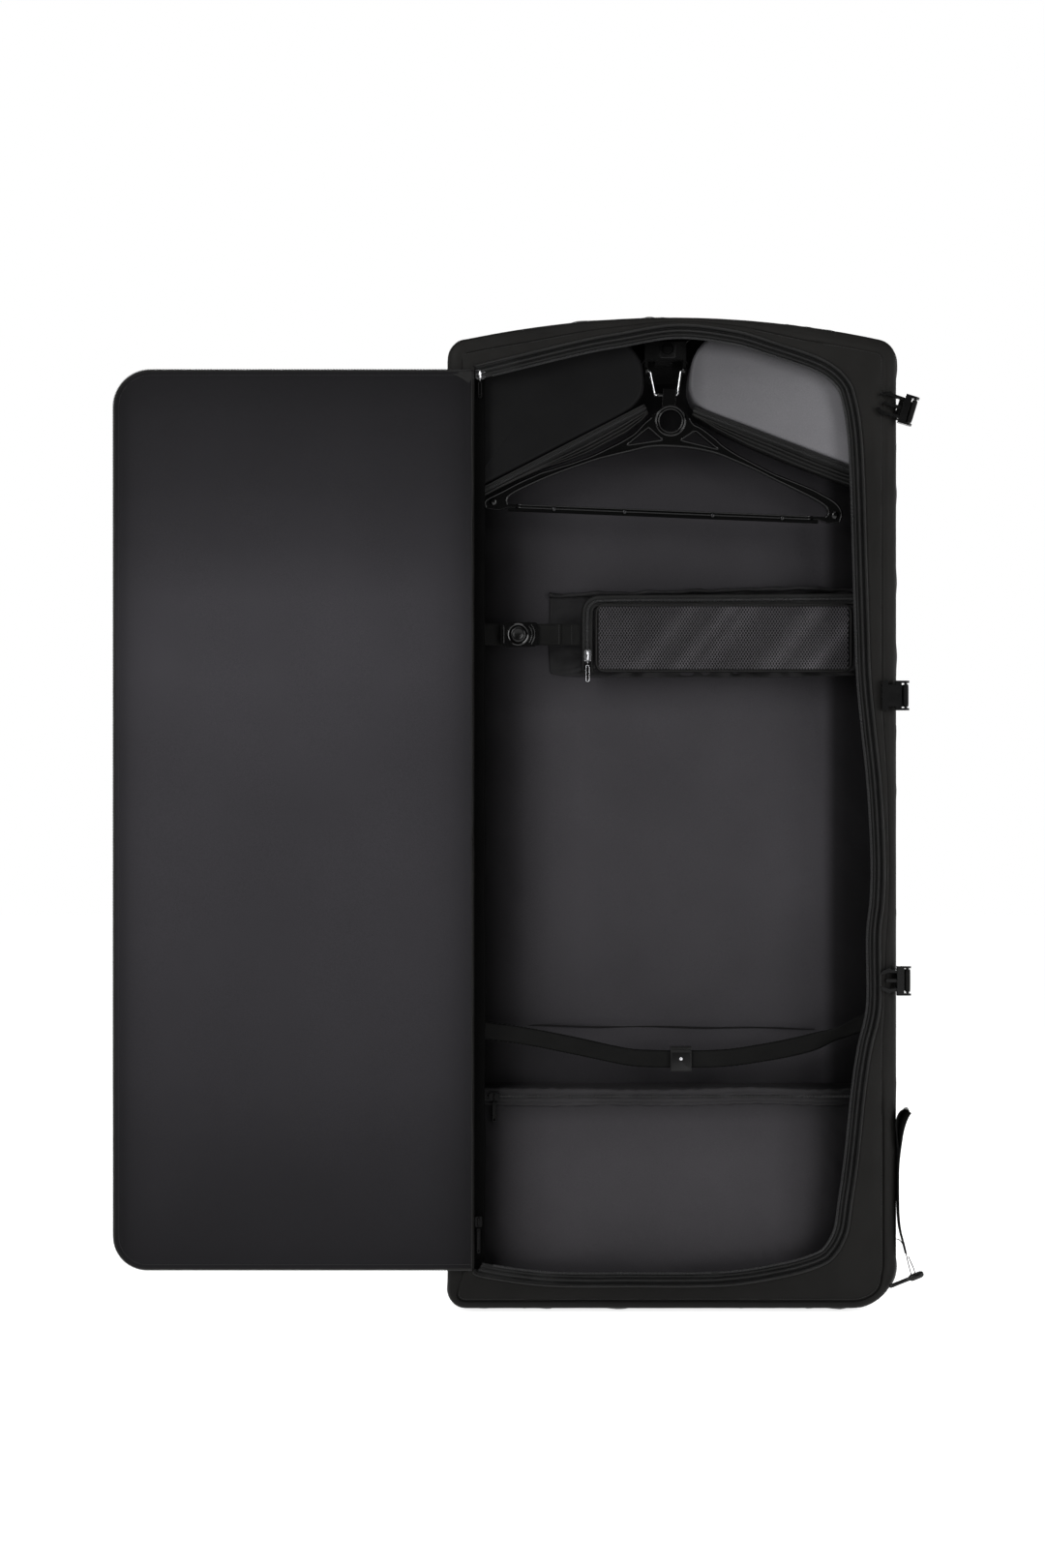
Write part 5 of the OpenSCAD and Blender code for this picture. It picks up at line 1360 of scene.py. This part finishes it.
tab_piece("tab_top_web", 268, 252, -72, "upper_case", "side_tabs_upper", 17)
tab_piece("tab_mid_web", 261, 251, -390, "upper_case")
tab_piece("tab_low_web", 263, 251, -709, "lower_case", "side_tab_lower")
for nm, x, z, body in (("top", 256, -70, "upper_case"), ("mid", 254, -390, "upper_case"), ("low", 255, -709, "lower_case")):
    o = stitch(f"tab_stitches_{nm}", [[x, -82.7, z + q] for q in np.linspace(-10, 10, 10)], (0, 1, 0), 2.4, 1.8, 0.25, M_THREAD)
    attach(o, body)

P = bent([[265.0, -87, -855.2], [262.4, -87, -858.6], [258.6, -87, -866], [255.4, -87, -877], [254.2, -87, -888], [253.5, -87, -905], [253.3, -87, -930], [253.4, -87, -960], [254.1, -87, -976.5], [256.0, -87, -990.5],
          [259.4, -87, -1003.5], [262.4, -87, -1016.0]], 80)
w = np.interp(np.linspace(0, 1, 80), [0, 0.9, 1], [19.6, 19.6, 15])
tw = 0.42 * smoothstep(-925, -868, P[:, 2])
wd = np.stack([-tw, np.ones(80), 0 * tw], axis=1)
tail = ribbon("tail_web", P, wd, w, 1.5, M_WEB)
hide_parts("tail_strap"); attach(tail, "lower_case")
P = bent([[252.6, -87, -896], [252.8, -87, -880], [253.4, -87, -866], [256.6, -87, -857.2], [261.6, -87, -853.8], [265.2, -87, -854.2]], 30)
tw = 0.35 * smoothstep(-898, -868, P[:, 2])
o = ribbon("tail_web_fold", P, np.stack([tw, np.ones(30), 0 * tw], axis=1), 19.0, 1.3, M_WEB)
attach(o, "lower_case")
# toggle
d = unit(np.array([281 - 242.6, 0, -1036.6 + 1052.0]))
P0 = np.array([242.6, -95, -1052.0])
s = np.array([0, 0.6, 1.4, 4, 12, 20, 24.2, 25.0, 25.8, 27, 33, 38, 40.4, 41.4])
r = np.array([0.7, 1.6, 2.1, 2.3, 2.2, 2.3, 2.3, 2.9, 3.6, 3.9, 4.0, 3.9, 3.0, 1.4])
o = tube("toggle_body", P0 + s[:, None] * d[None], r, M_PLASTIC, n=20)
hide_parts("tail_toggle"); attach(o, "toggle")
a = np.linspace(0, 2 * np.pi, 24, endpoint=False)
for k, q in enumerate((28.5, 31.0, 33.5, 36.0)):
    c = P0 + d * q
    n1, n2_ = np.array([0, 1.0, 0]), np.cross(d, [0, 1.0, 0])
    P = c[None] + 4.05 * (np.cos(a)[:, None] * n1[None] + np.sin(a)[:, None] * n2_[None])
    o = tube(f"toggle_rib_{k}", P, 0.32, M_PLASTIC, n=6, closed=True, up=tuple(d))
    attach(o, "toggle")

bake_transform(cord)

# ------------------------------------------------------------------ hanging ring's webbing
a = np.radians(np.linspace(0, 360, 41))[:-1]
P = np.stack([np.zeros(40), 3.9 * np.sin(a) * 0.99, -26 + 9.2 * np.cos(a)], axis=1)
o = ribbon("hang_loop_web", P, (1, 0, 0), 19.6, 1.3, M_WEB, closed=True)
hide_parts("hang_webbing"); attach(o, "upper_case")
P = [[0, -5.3 + (0.3 if z > -30 else 0), z] for z in np.linspace(-22, -109.5, 40)]
o = ribbon("hang_patch_web", P, (1, 0, 0), 19.6, 1.3, M_WEB)
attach(o, "upper_case")
box_x = [[-7.5, -4.55, -50], [7.5, -4.55, -50], [7.5, -4.55, -100], [-7.5, -4.55, -100]]
o = stitch("hang_patch_box", box_x, (0, 1, 0), 2.6, 2.0, 0.28, M_THREAD, closed=True)
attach(o, "upper_case")
for k, (p, q) in enumerate(((0, 2), (1, 3))):
    o = stitch(f"hang_patch_cross_{k}", [box_x[p], box_x[q]], (0, 1, 0), 2.6, 2.0, 0.28, M_THREAD)
    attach(o, "upper_case")

# ------------------------------------------------------------------ stage: floor, world and lights
fl = bpy.data.meshes.new("floor")
fl.from_pydata([(-9, -9, -1.0825), (9, -9, -1.0825), (9, 9, -1.0825), (-9, 9, -1.0825)], [], [(0, 1, 2, 3)])
floor = bpy.data.objects.new("floor", fl)
SC.collection.objects.link(floor)
fm = Nodes("floor_white")
fm.b.inputs["Base Color"].default_value = (0.9, 0.9, 0.9, 1)
fm.b.inputs["Roughness"].default_value = 0.9
fm.b.inputs["Specular IOR Level"].default_value = 0.1
fm.b.inputs["Emission Color"].default_value = (1, 1, 1, 1)
fm.b.inputs["Emission Strength"].default_value = 0.80
ln = fm.new("ShaderNodeVectorMath", operation="LENGTH")
fm.link(fm.co, ln.inputs[0])
mr = fm.new("ShaderNodeMapRange")
mr.interpolation_type = "SMOOTHSTEP"
mr.inputs["From Min"].default_value, mr.inputs["From Max"].default_value = 0.8, 2.6
mr.inputs["To Min"].default_value, mr.inputs["To Max"].default_value = 0.80, 1.0
fm.link(ln.outputs["Value"], mr.inputs["Value"])
fm.link(mr.outputs[0], fm.b.inputs["Emission Strength"])
fm.link(fm.ramp(fm.math("DIVIDE", ln.outputs["Value"], 3.0), [(0.3, (0.9, 0.9, 0.9)), (0.9, (0.05, 0.05, 0.05))]), fm.b.inputs["Base Color"])
fl.materials.append(fm.m)

world = bpy.data.worlds.new("studio")
SC.world = world
world.use_nodes = True
wt = world.node_tree
bg = wt.nodes["Background"]
bg.inputs["Color"].default_value = (1, 1, 1, 1)
bg.inputs["Strength"].default_value = 0.05
bg2 = wt.nodes.new("ShaderNodeBackground")
bg2.inputs["Color"].default_value = (1, 1, 1, 1)
bg2.inputs["Strength"].default_value = 1.0
lp = wt.nodes.new("ShaderNodeLightPath")
ms = wt.nodes.new("ShaderNodeMixShader")
wt.links.new(lp.outputs["Is Camera Ray"], ms.inputs[0])
wt.links.new(bg.outputs[0], ms.inputs[1])
wt.links.new(bg2.outputs[0], ms.inputs[2])
wt.links.new(ms.outputs[0], wt.nodes["World Output"].inputs["Surface"])


def area(name, loc, target, size, power, size_y=None):
    d_ = bpy.data.lights.new(name, "AREA")
    d_.energy = power
    d_.shape = "RECTANGLE"
    d_.size = size
    d_.size_y = size_y or size
    o_ = bpy.data.objects.new(name, d_)
    SC.collection.objects.link(o_)
    o_.location = loc
    o_.rotation_euler = (Vector(target) - Vector(loc)).to_track_quat("-Z", "Y").to_euler()
    return o_


area("key", (-2.0, -2.5, 1.0), (-0.15, 0, -0.45), 1.5, 64.0, 2.0)
area("fill", (2.1, -2.4, 0.0), (-0.1, 0, -0.5), 1.3, 44.0, 2.2)
area("top", (0.0, -0.9, 1.9), (0, -0.05, -0.3), 1.8, 10.0, 0.8)
area("back", (0.4, 3.0, 0.6), (-0.1, 0, -0.5), 2.0, 95.0, 2.0)
area("side_right", (3.2, 0.9, -0.1), (0, 0, -0.5), 1.4, 40.0, 2.0)
area("side_left", (-3.4, 0.9, -0.1), (-0.2, 0, -0.5), 1.4, 30.0, 2.0)
